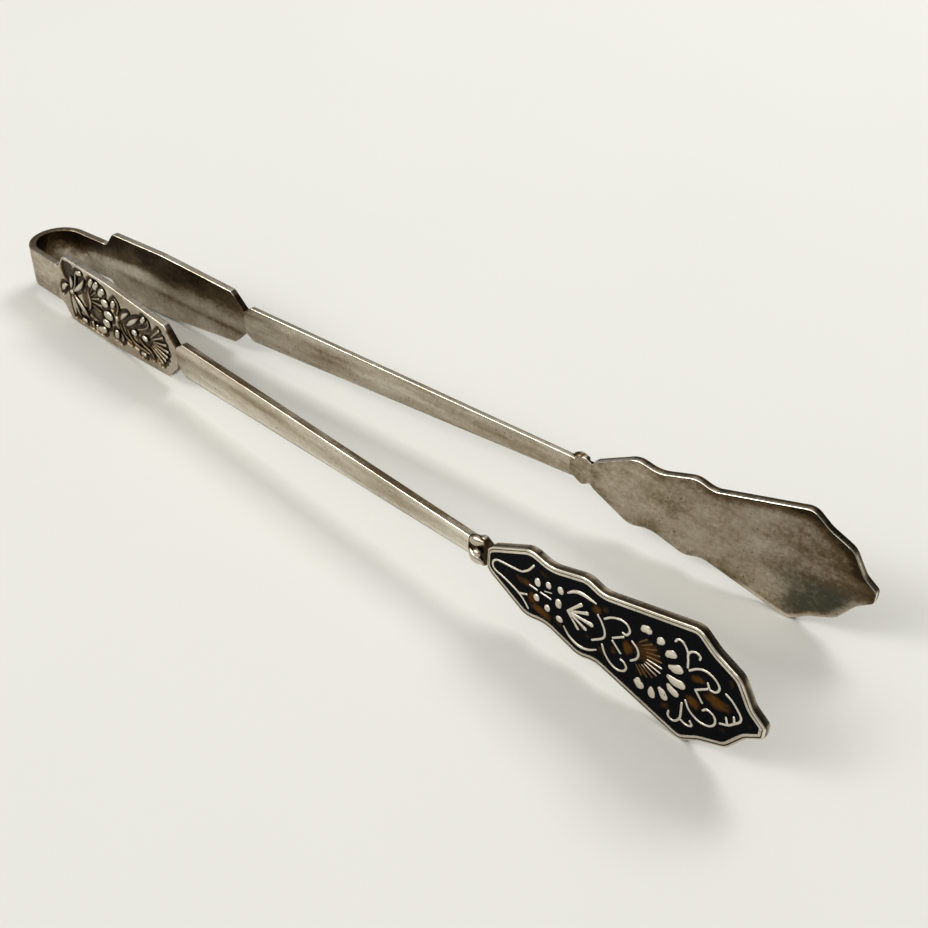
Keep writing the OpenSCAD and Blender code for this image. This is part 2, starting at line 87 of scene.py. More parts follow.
# all in millimetres
FACE_FROM_ROOT = 27.0  # the grip face's point, counted from the root of the blade
ROOT_HALF = 1.7  # half width of the arm where knop and blade meet
ROOT_RIM = 0.35  # the rim is narrower where it crosses the root of the blade
ROOT_SIDE_RIM = 0.55
BLADE_CORNER = 0.2  # radius worn on the outer corners of a blade
RIM_LINE = 0.3  # the groove in the rim runs from here
RIM_TROUGH = 0.46  # to here, counted from the outer edge
BAND_DROP = 0.03  # the inner band of the rim lies this much below its crest
EDGE_ROUND = 0.2  # rounding of the long edges of shank and knop
SINK = 0.42  # depth of the field sunk round the relief
PRESSED = 0.52  # height at which the struck relief levels out
POOL_SHORE = 1.2  # each pool is cut this much larger than its colour, so its shore can be ragged
FLOWER_MIDDLE = np.array([23.6, 0.0])  # on the blade

# ---------------------------------------------------------------- sizes and colours


def linear(hex_colour):
    """Linear RGB of an sRGB colour written as hex."""
    parts = [int(hex_colour[i : i + 2], 16) / 255 for i in (1, 3, 5)]
    return [c / 12.92 if c <= 0.04045 else ((c + 0.055) / 1.055) ** 2.4 for c in parts]


def size_prop(name, text, mm):
    return bpy.props.FloatProperty(
        name=name, description=text, default=mm * MM, min=0.0, unit="LENGTH", subtype="DISTANCE",
        precision=5,
    )


def colour_prop(name, text, hex_colour):
    return bpy.props.FloatVectorProperty(
        name=name, description=text, default=linear(hex_colour), size=3, min=0, max=1,
        subtype="COLOR",
    )


class TongsSizes(bpy.types.PropertyGroup):
    stock: size_prop("Stock", "Thickness of the metal", 1.25)
    bow_radius: size_prop("Bow radius", "Radius of the middle line of the bow", 4.5)
    bow_width: size_prop("Bow width", "Width of the spring strip", 6.9)
    bow_leg: size_prop("Bow leg", "Straight strip between curve and panel", 6.1)
    panel_length: size_prop("Panel length", "Grip panel, strip to neck", 33.0)
    panel_width: size_prop("Panel width", "Width at the shoulders", 12.1)
    panel_end: size_prop("Panel end", "Width just before the neck", 9.6)
    neck: size_prop("Neck", "Width between panel and shank", 4.0)
    shank_length: size_prop("Shank length", "Neck to knop", 61.6516)
    shank_width: size_prop("Shank width", "Width at the shoulders", 6.3)
    shank_end: size_prop("Shank end", "Width at the knop", 3.3)
    knop_length: size_prop("Knop length", "Shank to blade", 3.4)
    knop_width: size_prop("Knop width", "Width across the lobes", 5.0)
    blade_length: size_prop("Blade length", "Root to tip", 41.3)
    blade_width: size_prop("Blade width", "Greatest width", 18.4)
    rim: size_prop("Rim", "Width of the raised rim", 0.8)
    tray: size_prop("Tray", "Depth of the enamelled field", 0.5)
    enamel_drop: size_prop("Enamel drop", "Enamel below the top of the rim", 0.12)
    wire: size_prop("Wire", "Width of the scroll wires", 0.34)


class TongsColours(bpy.types.PropertyGroup):
    silver: colour_prop("Silver", "Worn, rubbed silver", "#E0D8C8")
    dull: colour_prop("Dull silver", "Silver with a thin film of tarnish", "#94856C")
    tarnish: colour_prop("Tarnish", "Old brown tarnish", "#2B1F14")
    toned: colour_prop("Toned silver", "Silver with a golden brown film", "#7C6A4E")
    patina: colour_prop("Patina", "Green-blue bloom near the tips", "#3D4A45")
    black: colour_prop("Black enamel", "Ground of the blades", "#08090C")
    amber: colour_prop("Amber enamel", "Pools in the ground", "#5A3A12")
    floor: colour_prop("Floor", "Table top", "#EDECE5")


def sizes():
    """The sizes as they are set, in millimetres."""
    group = bpy.context.scene.tongs_sizes
    return type("Sizes", (), {k: getattr(group, k) / MM for k in group.__annotations__})


def colour(name):
    return (*getattr(bpy.context.scene.tongs_colours, name), 1.0)


# ---------------------------------------------------------------- selecting and finishing


def deselect():
    if bpy.context.mode != "OBJECT":
        bpy.ops.object.mode_set(mode="OBJECT")
    bpy.ops.object.select_all(action="DESELECT")


def only(obj):
    deselect()
    obj.select_set(True)
    bpy.context.view_layer.objects.active = obj


def added(name):
    """Names the object an operator has just added."""
    obj = bpy.context.active_object
    obj.name = obj.data.name = name
    return obj


def joined(name, objects):
    deselect()
    for o in objects:
        o.select_set(True)
    bpy.context.view_layer.objects.active = objects[0]
    if len(objects) > 1:
        bpy.ops.object.join()
    return added(name)


@contextmanager
def editing(obj):
    """Edit mode, with the whole mesh selected."""
    only(obj)
    bpy.ops.object.mode_set(mode="EDIT")
    bpy.ops.mesh.select_all(action="SELECT")
    yield
    bpy.ops.object.mode_set(mode="OBJECT")


def close_up(obj, gap=0.002):
    """Merges doubles and turns the faces outward."""
    with editing(obj):
        bpy.ops.mesh.remove_doubles(threshold=gap)
        bpy.ops.mesh.normals_make_consistent(inside=False)


def modify(obj, kind, **settings):
    only(obj)
    bpy.ops.object.modifier_add(type=kind)
    modifier = obj.modifiers[-1]
    for key, value in settings.items():
        setattr(modifier, key, value)
    bpy.ops.object.modifier_apply(modifier=modifier.name)


def worn(obj, width, segments, **settings):
    """Takes the sharpness off all hard edges, and shades the rest smooth."""
    modify(obj, "BEVEL", width=width, segments=segments, limit_method="ANGLE",
           angle_limit=math.radians(50), **settings)
    smooth(obj, 40)
    modify(obj, "WEIGHTED_NORMAL", keep_sharp=True, weight=60)


def smooth(obj, angle=40):
    only(obj)
    bpy.ops.object.shade_smooth_by_angle(angle=math.radians(angle))


def blade_start():
    """Distance along the arm from the spring strip to the root of the blade."""
    s = sizes()
    return s.panel_length + s.shank_length + s.knop_length


def arm_matrix(side):
    """From the bench to that arm: the inner face is the mount's, across is the hinge's axis."""
    mount, joint = MOUNTS[side + "_grip_face"], JOINTS[side + "_flex"]
    inward = Vector(mount["axis"]).normalized()
    across = Vector(joint["axis"]).normalized()
    along = inward.cross(across).normalized()
    start = Vector(mount["pos_m"]) - along * (blade_start() + FACE_FROM_ROOT) * MM
    turn = Matrix((along, across, -inward)).transposed().to_4x4()
    return Matrix.Translation(start) @ turn @ Matrix.Scale(MM, 4)


def finish_piece(obj, matrix, kind, name):
    """Stands a bench piece in its place in the tongs and gives it its finish."""
    only(obj)
    obj.name = obj.data.name = name
    obj.matrix_world = matrix
    bpy.ops.object.transform_apply(location=True, rotation=True, scale=True)
    obj.data.materials.clear()
    obj.data.materials.append(material(kind))


def both_arms(obj, name, kind, tarnish_and_painted_light=None):
    """The bench piece goes on the front arm, and a copy with its own mesh on the rear arm.
    The given function of (points, up) gives the tarnish of each point, and on some pieces painted
    shade or a painted highlight, where up is +1 if +Y is the upper side."""
    only(obj)
    bpy.ops.object.duplicate()
    for side, piece, up in zip(SIDES, (obj, bpy.context.active_object), (1, -1)):
        if tarnish_and_painted_light:
            paint(piece, "tarnish", tarnish_and_painted_light(points_of(piece), up))
        finish_piece(piece, arm_matrix(side), kind, f"{side}_{name}")
        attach(piece, side + "_arm")
        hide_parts(f"{side}_{name}")


def paint(obj, attribute, values):
    """A number for each corner point of the mesh, which the material reads."""
    layer = obj.data.attributes.new(attribute, "FLOAT", "POINT")
    layer.data.foreach_set("value", np.asarray(values, np.float32))


def pool_field(x, y):
    """How deep the amber is at each point of the blade, from all the pools together."""
    best = np.zeros(len(x))
    for i, (cx, cy, a, b, turn, strength) in enumerate(AMBER_POOLS):
        t = math.radians(turn)
        dx, dy = x - cx, y - cy
        u, v = (dx * math.cos(t) + dy * math.sin(t)) / a, (dy * math.cos(t) - dx * math.sin(t)) / b
        r = np.hypot(u, v) / shore(np.arctan2(v, u), i)
        best = np.maximum(best, ease(1.3 - r * 1.3) * strength)
    return best


def shore(t, i):
    """The uneven edge of the i-th pool."""
    return (1.12 + 0.1 * np.sin(2 * t + i) + 0.08 * np.sin(3 * t + 2.1 * i)
            + 0.05 * np.sin(5 * t - i))


def points_of(obj):
    co = np.zeros(len(obj.data.vertices) * 3, np.float32)
    obj.data.vertices.foreach_get("co", co)
    return co.reshape(-1, 3).astype(float)


def move_points(obj, co):
    obj.data.vertices.foreach_set("co", np.asarray(co, np.float32).ravel())
    obj.data.update()


# ---------------------------------------------------------------- outlines


def unit(v):
    return v / np.linalg.norm(v)


def rounded(corners, step=9.0):
    """A closed outline with its corners [x, y, radius] turned to arcs."""
    out, n = [], len(corners)
    c = np.array(corners, float)
    for i in range(n):
        a, b, d, r = c[i - 1][:2], c[i][:2], c[(i + 1) % n][:2], c[i][2]
        if r <= 0:
            out.append(b)
            continue
        ua, ud = unit(a - b), unit(d - b)
        half = math.acos(max(-1, min(1, float(ua @ ud)))) / 2
        back = min(r / math.tan(half), 0.48 * min(np.linalg.norm(a - b), np.linalg.norm(d - b)))
        r = back * math.tan(half)
        mid = b + unit(ua + ud) * r / math.sin(half)
        start = b + ua * back - mid
        cross = (b - a)[0] * (d - b)[1] - (b - a)[1] * (d - b)[0]
        sweep = (math.pi - 2 * half) * (1 if cross > 0 else -1)
        k = max(3, math.ceil(abs(math.degrees(sweep)) / step))
        for t in np.linspace(0, sweep, k + 1):
            out.append(mid + [start[0] * math.cos(t) - start[1] * math.sin(t),
                              start[0] * math.sin(t) + start[1] * math.cos(t)])
    return np.array(out)


def both_sides(half):
    return [list(p) for p in half] + [[p[0], -p[1], p[2]] for p in reversed(half)]


def inset(corners, d):
    """The corners of a clockwise outline moved inward by d."""
    c, n, out = np.array(corners, float), len(corners), []
    for i in range(n):
        a, b, e = c[i - 1], c[i], c[(i + 1) % n]
        e1, e2 = unit((b - a)[:2]), unit((e - b)[:2])
        n1, n2 = np.array([e1[1], -e1[0]]), np.array([e2[1], -e2[0]])
        move = (n1 + n2) * d / (1 + n1 @ n2)
        right = (b - a)[0] * (e - b)[1] - (b - a)[1] * (e - b)[0] < 0
        r = 0 if b[2] <= 0 else (max(0.15, b[2] - d) if right else b[2] + d)
        out.append([b[0] + move[0], b[1] + move[1], r])
    return out


def drawn_in(loop, d):
    """The points of a clockwise outline moved inward by d; the cut at the root stays in its
    own plane."""
    p = np.array(loop, float)
    step = np.roll(p, -1, axis=0) - p
    step /= np.hypot(*step.T)[:, None]
    after = np.stack([step[:, 1], -step[:, 0]], 1)
    before = np.roll(after, 1, axis=0)
    move = (after + before) / (1 + (after * before).sum(axis=1))[:, None]
    move[:, 0] *= np.clip((p[:, 0] - p[:, 0].min()) / 0.5, 0, 1)
    return p + move * d


def half_width(outline):
    """Half width as a function of the distance along, for an outline drawn with rounded()."""
    top = outline[outline[:, 1] >= 0]
    top = top[np.argsort(top[:, 0], kind="stable")]
    return lambda x: np.interp(x, top[:, 0], top[:, 1])


def blade_corners():
    s = sizes()
    length, half = s.blade_length, s.blade_width / 2
    return both_sides([
        [0, ROOT_HALF, 0.5],
        [0.016 * length, 0.26 * half, 0.9],
        [0.162 * length, 0.623 * half, 3],
        [0.242 * length, 0.532 * half, 4.5],
        [0.373 * length, 0.723 * half, 3],
        [0.436 * length, 0.63 * half, 3],
        [0.755 * length, 1.02 * half, 2],
        [0.818 * length, 0.802 * half, 5],
        [0.902 * length, 0.623 * half, 2.6],
        [0.952 * length, 0.262 * half, 2.8],
        [length, 0.095 * half, 0.8],
    ])


def tray_corners(width):
    """The outline of the blade drawn in by width, and by less at its root."""
    p = inset(blade_corners(), width)
    share = width / sizes().rim
    p[0] = [ROOT_RIM * share, ROOT_HALF - ROOT_SIDE_RIM * share, 0.8]
    p[-1] = [p[0][0], -p[0][1], 0.8]
    return p


def panel_corners():
    s = sizes()
    return both_sides([
        [0, s.bow_width / 2, 0],
        [0.036 * s.panel_length, s.bow_width / 2, 1.6],
        [0.092 * s.panel_length, s.panel_width / 2, 1.1],
        [0.45 * s.panel_length, s.panel_width / 2 - 0.05, 30],
        [0.92 * s.panel_length, s.panel_end / 2, 0.35],
        [s.panel_length, s.neck / 2, 0],
    ])


# ---------------------------------------------------------------- bench tools


def on_blade(corners):
    """The closed outline with these corners, moved along the arm to the blade."""
    return [(x + blade_start(), y) for x, y in rounded(corners, 6)]


def new_curve(name, dimensions):
    bpy.ops.curve.primitive_bezier_curve_add()
    obj = added(name)
    obj.data.dimensions = dimensions
    obj.data.splines.clear()
    return obj


def add_spline(curve, points):
    spline = curve.splines.new("POLY")
    spline.points.add(len(points) - 1)
    spline.points.foreach_set("co", np.array([[x, y, 0, 1] for x, y in points]).ravel())
    return spline


def curve_to_mesh(obj, z, flat=1):
    """Turns a curve to a mesh, pressed to flat times its height and lifted to height z."""
    only(obj)
    bpy.ops.object.convert(target="MESH")
    bpy.ops.transform.resize(value=(1, 1, flat))
    obj.location.z = z
    bpy.ops.object.transform_apply(location=True, rotation=True, scale=True)


def sheet_metal(name, loops, low, high):
    """Flat metal between two heights, cut to closed outlines; a second loop is a hole."""
    obj = new_curve(name, "2D")
    obj.data.fill_mode = "BOTH"
    for loop in loops:
        add_spline(obj.data, loop).use_cyclic_u = True
    obj.data.extrude = (high - low) / 2
    curve_to_mesh(obj, (low + high) / 2)
    return obj


def select_faces(obj, chosen):
    """Edit mode, with only the faces selected for which chosen(face) is true."""
    only(obj)
    bpy.ops.object.mode_set(mode="EDIT")
    bpy.ops.mesh.select_mode(type="FACE")
    bpy.ops.mesh.select_all(action="DESELECT")
    bpy.ops.object.mode_set(mode="OBJECT")
    for face in obj.data.polygons:
        face.select = bool(chosen(face))
    bpy.ops.object.mode_set(mode="EDIT")


def lies_at(z):
    return lambda face: abs(face.center.z - z) < 1e-4 and abs(face.normal.z) > 0.9


def delete_faces(obj, chosen):
    select_faces(obj, chosen)
    bpy.ops.mesh.delete(type="FACE")
    bpy.ops.object.mode_set(mode="OBJECT")


def mesh_face(obj, z, rounds=3):
    """Divides the flat face at height z, so that it can carry stains that vary across it."""
    select_faces(obj, lies_at(z))
    bpy.ops.mesh.poke()
    for _ in range(rounds):
        bpy.ops.mesh.subdivide(number_cuts=1)
    bpy.ops.object.mode_set(mode="OBJECT")


def flat_face(name, loops, z):
    """The level face between closed outlines, without any thickness."""
    obj = sheet_metal(name, loops, z - 0.5, z)
    delete_faces(obj, lambda face: not lies_at(z)(face))
    return obj


def upright(name, loop, low, high):
    """The wall that stands on a closed outline."""
    obj = sheet_metal(name, [loop], low, high)
    delete_faces(obj, lambda face: abs(face.normal.z) > 0.9)
    return obj


def rolled(name, n_along, n_round, place, close=True):
    """A flat grid rolled into a closed bar: place(u, v) gives points as arrays, u along from
    0 to 1 and v once round the section. Its ends are filled."""
    bpy.ops.mesh.primitive_grid_add(x_subdivisions=n_along, y_subdivisions=n_round, size=1)
    obj = added(name)
    co = points_of(obj)
    move_points(obj, place(co[:, 0] + 0.5, co[:, 1] + 0.5))
    if close:
        with editing(obj):
            bpy.ops.mesh.remove_doubles(threshold=0.0005)
            bpy.ops.mesh.select_all(action="DESELECT")
            bpy.ops.mesh.select_non_manifold(
                extend=False, use_wire=False, use_boundary=True, use_multi_face=False,
                use_non_contiguous=False, use_verts=False)
            bpy.ops.mesh.edge_face_add()
            bpy.ops.mesh.select_all(action="SELECT")
            bpy.ops.mesh.normals_make_consistent(inside=False)
    return obj


def along_curve(points, steps=7):
    """Points on a smooth curve through the guide points, and how far along each one is."""
    p = [np.array(q, float) for q in points]
    p = [2 * p[0] - p[1]] + p + [2 * p[-1] - p[-2]]
    out = []
    for i in range(1, len(p) - 2):
        a, b, c, d = p[i - 1 : i + 3]
        for t in np.arange(steps) / steps:
            out.append(0.5 * (2 * b + (c - a) * t + (2 * a - 5 * b + 4 * c - d) * t * t
                              + (3 * b - a - 3 * c + d) * t**3))
    out.append(p[-2])
    out = np.array(out)
    run = np.concatenate([[0], np.cumsum(np.linalg.norm(np.diff(out, axis=0), axis=1))])
    return out, run


# A stroke is (guide points, half widths at start, middle and end).


def stroke_radius(run, start, middle, end):
    """The half width of a stroke at each distance along it."""
    t = run / run[-1]
    return np.where(t < 0.5, start + (middle - start) * np.sin(math.pi * t),
                    end + (middle - end) * np.sin(math.pi * t))


def wire(*points, w=None):
    r = (w or sizes().wire) / 2
    return points, (r, r, r)


def leaf(*points, w=0.8, tip=0.08):
    return points, (tip, w / 2, tip)


def ray(start, end, w_from=0.3, w_to=0.55):
    return (start, end), (w_from / 2, (w_from + w_to) / 4, w_to / 2)


def oval(x, y, a, b, turn=0.0, bend=0.0):
    """A petal: centre, half length, half width, turn in degrees, bend of its middle line."""
    t = math.radians(turn)
    u, n = np.array([math.cos(t), math.sin(t)]), np.array([-math.sin(t), math.cos(t)])
    c, k = np.array([x, y]), max(a - b, 0.12 * a)
    return ((c - u * k, c + n * bend, c + u * k), (b, b, b))


def drawn(name, strokes, level, flat):
    """Strokes of metal standing at a height, each a round bar with round ends, pressed to
    flat times its width."""
    obj = new_curve(name, "3D")
    curve = obj.data
    curve.bevel_depth = 1.0
    curve.bevel_resolution = 3
    curve.use_fill_caps = True
    # both ends are rounded by points a little past them, with their radius closing in
    closing = np.array([0.97, 0.86, 0.66, 0.34])
    for guide, radii in strokes:
        path, run = along_curve(guide)
        first, last = radii[0], radii[2]
        d0, d1 = unit(path[0] - path[1]), unit(path[-1] - path[-2])
        head = [(path[0] + d0 * first * math.sqrt(1 - c * c), first * c) for c in closing[::-1]]
        tail = [(path[-1] + d1 * last * math.sqrt(1 - c * c), last * c) for c in closing]
        stations = head + list(zip(path, stroke_radius(run, *radii))) + tail
        spline = add_spline(curve, [p for p, _ in stations])
        spline.points.foreach_set("radius", np.array([r for _, r in stations], float))
    curve_to_mesh(obj, level, flat)
    close_up(obj, 0.0008)
    bpy.ops.object.shade_smooth()
    return obj


def nearest(points, strokes):
    """Distance in the flat from each point to the edge of the nearest stroke."""
    best = np.full(len(points), 1e3)
    for guide, radii in strokes:
        path, run = along_curve(guide, 5)
        for q, r in zip(path, stroke_radius(run, *radii)):
            best = np.minimum(best, np.hypot(points[:, 0] - q[0], points[:, 1] - q[1]) - r)
    return best


def petal(x, y, a, b, turn=0.0, bend=0.0):
    """An oval whose end nearer the middle of the flower is narrower."""
    (p, c, q), (r, _, _) = oval(x, y, a, b, turn, bend)
    thin, full = r * 0.62, r * 1.04
    if np.hypot(*(p - FLOWER_MIDDLE)) > np.hypot(*(q - FLOWER_MIDDLE)):
        thin, full = full, thin
    return (p, c, q), (thin, r, full)


def from_edge(points, loop):
    """Distance in the flat from each point to a closed outline."""
    a = np.array(loop, float)
    d = np.roll(a, -1, axis=0) - a
    best = np.full(len(points), 1e3)
    for p, e in zip(a, d):
        t = np.clip(((points[:, :2] - p) @ e) / max(e @ e, 1e-12), 0, 1)
        best = np.minimum(best, np.hypot(*(points[:, :2] - p - t[:, None] * e).T))
    return best


def ease(x):
    x = np.clip(x, 0, 1)
    return x * x * (3 - 2 * x)


# ---------------------------------------------------------------- the ornament


def inner_film(x, high):
    """The film inside the bow (x < 0) and on the inner face of the panel: dark along the
    upper half, with a rubbed patch near the strip and a tide mark below it."""
    film = 0.22 + 0.7 * ease((high + 0.9) / 3.6) * ease((46 - x) / 26)
    film += 0.3 * ease(-x / 5)
    film -= 0.6 * np.exp(-(((x - 8) / 5) ** 2) - ((high - 0.6) / 1.4) ** 2)
    film += 0.25 * np.exp(-((high + 0.9 + 0.05 * x) / 0.6) ** 2) * ease((x + 1) / 5)
    return film


def panel_strokes():
    foliage = [
        oval(4.3, -0.2, 0.55, 0.45),
        leaf((1.3, -1.2), (1.8, -0.3), (2.5, 0.4), (3.3, 0.6), w=1.0),
        wire((4.3, 0), (5.2, 1), (5.9, 2.6), (6.3, 4), (6.9, 4.6), w=0.4),
        oval(7.5, 4.6, 0.85, 0.5, 20),
        leaf((4.1, 0.2), (4.6, 1.8), (4.5, 3.2), w=0.8),
        leaf((4.6, -0.1), (7.3, 2.1), (8.7, 3.9), w=0.95),
        leaf((8.4, -2.1), (9.3, -1.1), (9.6, 0.4), (9.4, 1.7), (9.8, 2.7), w=0.55),
        leaf((4.5, -0.4), (6.5, -1.8), (8.6, -3.7), w=0.95),
        leaf((4.3, -0.5), (5.2, -3), (5.8, -4.8), w=0.65),
        leaf((4.1, -0.4), (4.4, -3), (4.3, -4.8), w=0.9),
        oval(6.9, -4.6, 0.75, 0.4),
    ]
    flower = [
        oval(10.7, 4.1, 1.0, 0.47, 55, 0.05),
        oval(12.15, 4.15, 1.05, 0.52, 50, 0.05),
        oval(13.6, 3.5, 1.15, 0.6, 45, 0.05),
        oval(14.2, 1.8, 0.9, 0.78),
        oval(14.8, -0.25, 1.2, 0.8, 0, 0.08),
        oval(13.85, -2.1, 0.95, 0.82, 0),
        oval(12.3, -4, 1.2, 0.65, 20, -0.08),
        oval(10.6, -4.4, 0.62, 0.42, 90),
        oval(9.4, -4.2, 0.6, 0.33, 90),
    ]
    shell_of_flower = [
        oval(11.4, -1.5, 1.55, 1.1),
        ray((10.0, -0.3), (12.4, -0.6), 0.2, 0.35),
        ray((10.1, 0.4), (12.9, 0.7), 0.3, 0.5),
        ray((10.1, 0.9), (12.4, 1.8), 0.3, 0.45),
        ray((10, 1.4), (11.7, 2.7), 0.25, 0.4),
        ray((9.9, 1.9), (10.8, 3), 0.2, 0.35),
    ]
    sprigs = [
        oval(16.6, 2.6, 0.85, 0.5, 60),
        wire((17.3, 3.8), (17.9, 3.1), (17.8, 2), (17.2, 1.1), w=0.38),
        oval(16.5, -3, 0.9, 0.55, 75),
        leaf((17.7, -2.4), (18.1, -3.3), (17.4, -4), w=0.55),
        leaf((18.1, 0.3), (19.2, 1.6), (20.8, 2.8), w=0.85),
        leaf((19.5, -0.2), (21.2, 1.2), (23.5, 3), w=0.9),
        wire((23, 0.7), (25, 1.7), (26, 2.6), (25.9, 3.4), w=0.38),
        oval(24.7, 3.2, 0.85, 0.42, 50),
        wire((17.9, -0.7), (18.4, -1.8), (19.2, -2.6), (20.4, -2.9), w=0.36),
        wire((19.9, -0.8), (20.5, -1.9), (21.6, -2.6), (23.6, -2.8), (25.3, -2.9), w=0.36),
        wire((22.9, -1.2), (24, -1.9), (25.6, -2.3), (26.4, -3), w=0.36),
        oval(23.7, -3.6, 0.75, 0.38, 6),
    ]
    shell = [
        oval(21.8, -0.4, 0.62, 0.58),
        oval(24.7, -0.2, 0.72, 0.52),
        ray((26.1, 0.5), (28.8, 3)), ray((26.5, 0.4), (29.6, 2.1)),
        ray((26.9, 0.2), (30.2, 1)), ray((26.9, -0.1), (30.6, -0.1)),
        ray((26.9, -0.5), (30.2, -1.2)), ray((26.5, -0.8), (29.6, -2.1)),
        ray((26.1, -1.2), (28.8, -2.9)),
    ]
    return {"foliage": foliage, "flower": flower + shell_of_flower, "sprigs": sprigs,
            "shell": shell}


def blade_strokes():
    wires = [
        # hairpin round the root, with its barb
        wire((7.4, 3.4), (6.8, 2.4), (6.2, 1.75), (5.2, 1.15), (2.3, 0.75), (1.3, 0.5),
             (0.8, -0.3), (1.2, -1.2), (3.1, -1.7), (5.2, -2.5), (6.3, -3.3), (7, -4.1)),
        wire((5.4, -2.6), (5.9, -2.3), (6.6, -2)),
        # dashes along the middle
        wire((7, -0.1), (8.2, -0.2), w=0.28),
        wire((8.8, -0.2), (10.4, -0.25), w=0.28),
        wire((9.4, 0.4), (10.5, 0.8), w=0.16),
        # leaves above and below the small fan
        leaf((12.9, 2.5), (13.9, 3.4), (15.1, 3.75), (17.1, 3.6), w=0.62, tip=0.14),
        leaf((12.8, -3.3), (13.9, -4.4), (15.4, -4.9), (16.8, -4.5), (17.9, -3.7), w=0.46,
             tip=0.12),
        # bracket after the fan
        wire((17.6, 2), (18.3, 1.2), (18.85, 0), (18.7, -1.1), (17.2, -2.5)),
        # pair of scrolls with a chevron between them
        wire((18.6, 2.1), (19.6, 3), (20.9, 3.5), (21.9, 3.3), (22.3, 2.5), (21.9, 1.7),
             (21.4, 1.7)),
        wire((18.7, -2.2), (19.2, -3.3), (20.2, -4.3), (21.2, -4.65), (22.2, -4.2),
             (22.5, -3.4), (22.1, -2.8), (21.6, -2.7)),
        wire((21.5, 1.1), (20.1, -0.05)),
        wire((20.1, -0.55), (21.4, -1.7)),
        # crescent before the flower
        wire((22.8, 1.3), (23.6, 0.7), (23.9, -0.15), (23.7, -1), (23, -1.8)),
        # tendrils above and below the flower
        wire((30.5, 2.7), (30.4, 3.7), (30.25, 4.6), (30.6, 5.3), (31.2, 5.6), (31.8, 5.4),
             (31.8, 4.9)),
        wire((30.3, 4.6), (29.9, 5.4), (29.3, 5.95), (28.7, 5.95), (28.4, 5.4)),
        wire((30.6, -3.3), (30.7, -4.7), (30.7, -5.8), (30.2, -6.7), (29.6, -6.9),
             (29.1, -6.5), (29.1, -5.9)),
        wire((30.7, -5.9), (31.5, -6.2), (32.1, -6.1), (32.4, -5.7), (32.1, -5.3)),
        # hooks beside the tip
        wire((30.8, 2.4), (31.8, 3.4), (33, 3.8), (34.2, 3.4), (34.85, 2.6), (34.6, 1.7),
             (33.8, 1.45), (33.35, 2.2)),
        wire((31, -2.5), (31.6, -3.5), (32.6, -4.2), (33.6, -4.4), (34.7, -4), (35.2, -3.1),
             (34.9, -2.1), (33.9, -1.8), (33.4, -2.3)),
        wire((33.4, 1.3), (32, 0.1)),
        wire((32, 0.05), (33.1, -1.2)),
        # wavy leaf at the tip, with its ticks
        wire((35.8, 2.3), (36.6, 1.9), (37.4, 1.2), (38.1, 0.3), (38.1, -0.5), (37.5, -1.3),
             (36.8, -2.1), (35.8, -2.6)),
        wire((37.3, -0.4), (37.5, -1.2)),
        wire((36.4, -1.2), (36.7, -2.1)),
    ]
    root = np.array([22.2, 0.0])
    rays = []
    for i in range(11):
        t = math.radians(50 * (i / 5 - 1))
        u = np.array([math.cos(t), math.sin(t)])
        ends = []
        for centre, r in (((23.3, 0), 1.85), ((24.2, 0), 3.0)):
            d = np.array(centre) - root
            m = d @ u
            ends.append(root + u * (m + math.sqrt(r * r - d @ d + m * m)))
        rays.append(ray(ends[0], ends[1], 0.14, 0.26))
    fan = (13.1, -0.4)
    clubs = [
        ray(fan, (15, 1.9), 0.3, 0.6), ray(fan, (16, 1.15), 0.3, 0.6),
        ray(fan, (16.8, -0.2), 0.3, 0.7), ray(fan, (16, -1.5), 0.3, 0.55),
        ray(fan, (14.9, -2.2), 0.3, 0.5),
    ]
    petals = [
        petal(24.3, 4.3, 0.98, 0.62, 30, 0.1), petal(26.45, 3.9, 0.8, 0.55, 60),
        petal(28, 2.9, 1.03, 0.6, 42, 0.06), petal(28.9, 1.3, 1.22, 0.66, 22, -0.12),
        petal(29.2, -0.6, 1.48, 0.66, -3, -0.16), petal(29, -2.2, 1.12, 0.56, -30, -0.12),
        petal(27.8, -3.7, 1.08, 0.58, -48, 0.08), petal(26.4, -4.6, 0.98, 0.54, -80),
        petal(24.5, -4.4, 0.98, 0.7, -65, -0.08),
    ]
    seeds = [
        oval(8.2, 1.1, 0.66, 0.5, 90), oval(9.9, 1.7, 0.56, 0.46, 90),
        oval(11.8, 2.1, 0.6, 0.5, 100), oval(11.65, -0.2, 0.75, 0.5, 90),
        oval(8.2, -1.5, 0.55, 0.5, 90), oval(10, -2.1, 0.56, 0.48, 80),
        oval(12, -2.6, 0.54, 0.5),
    ]
    return {"wires": wires, "rays": rays, "clubs": clubs, "petals": petals, "seeds": seeds}


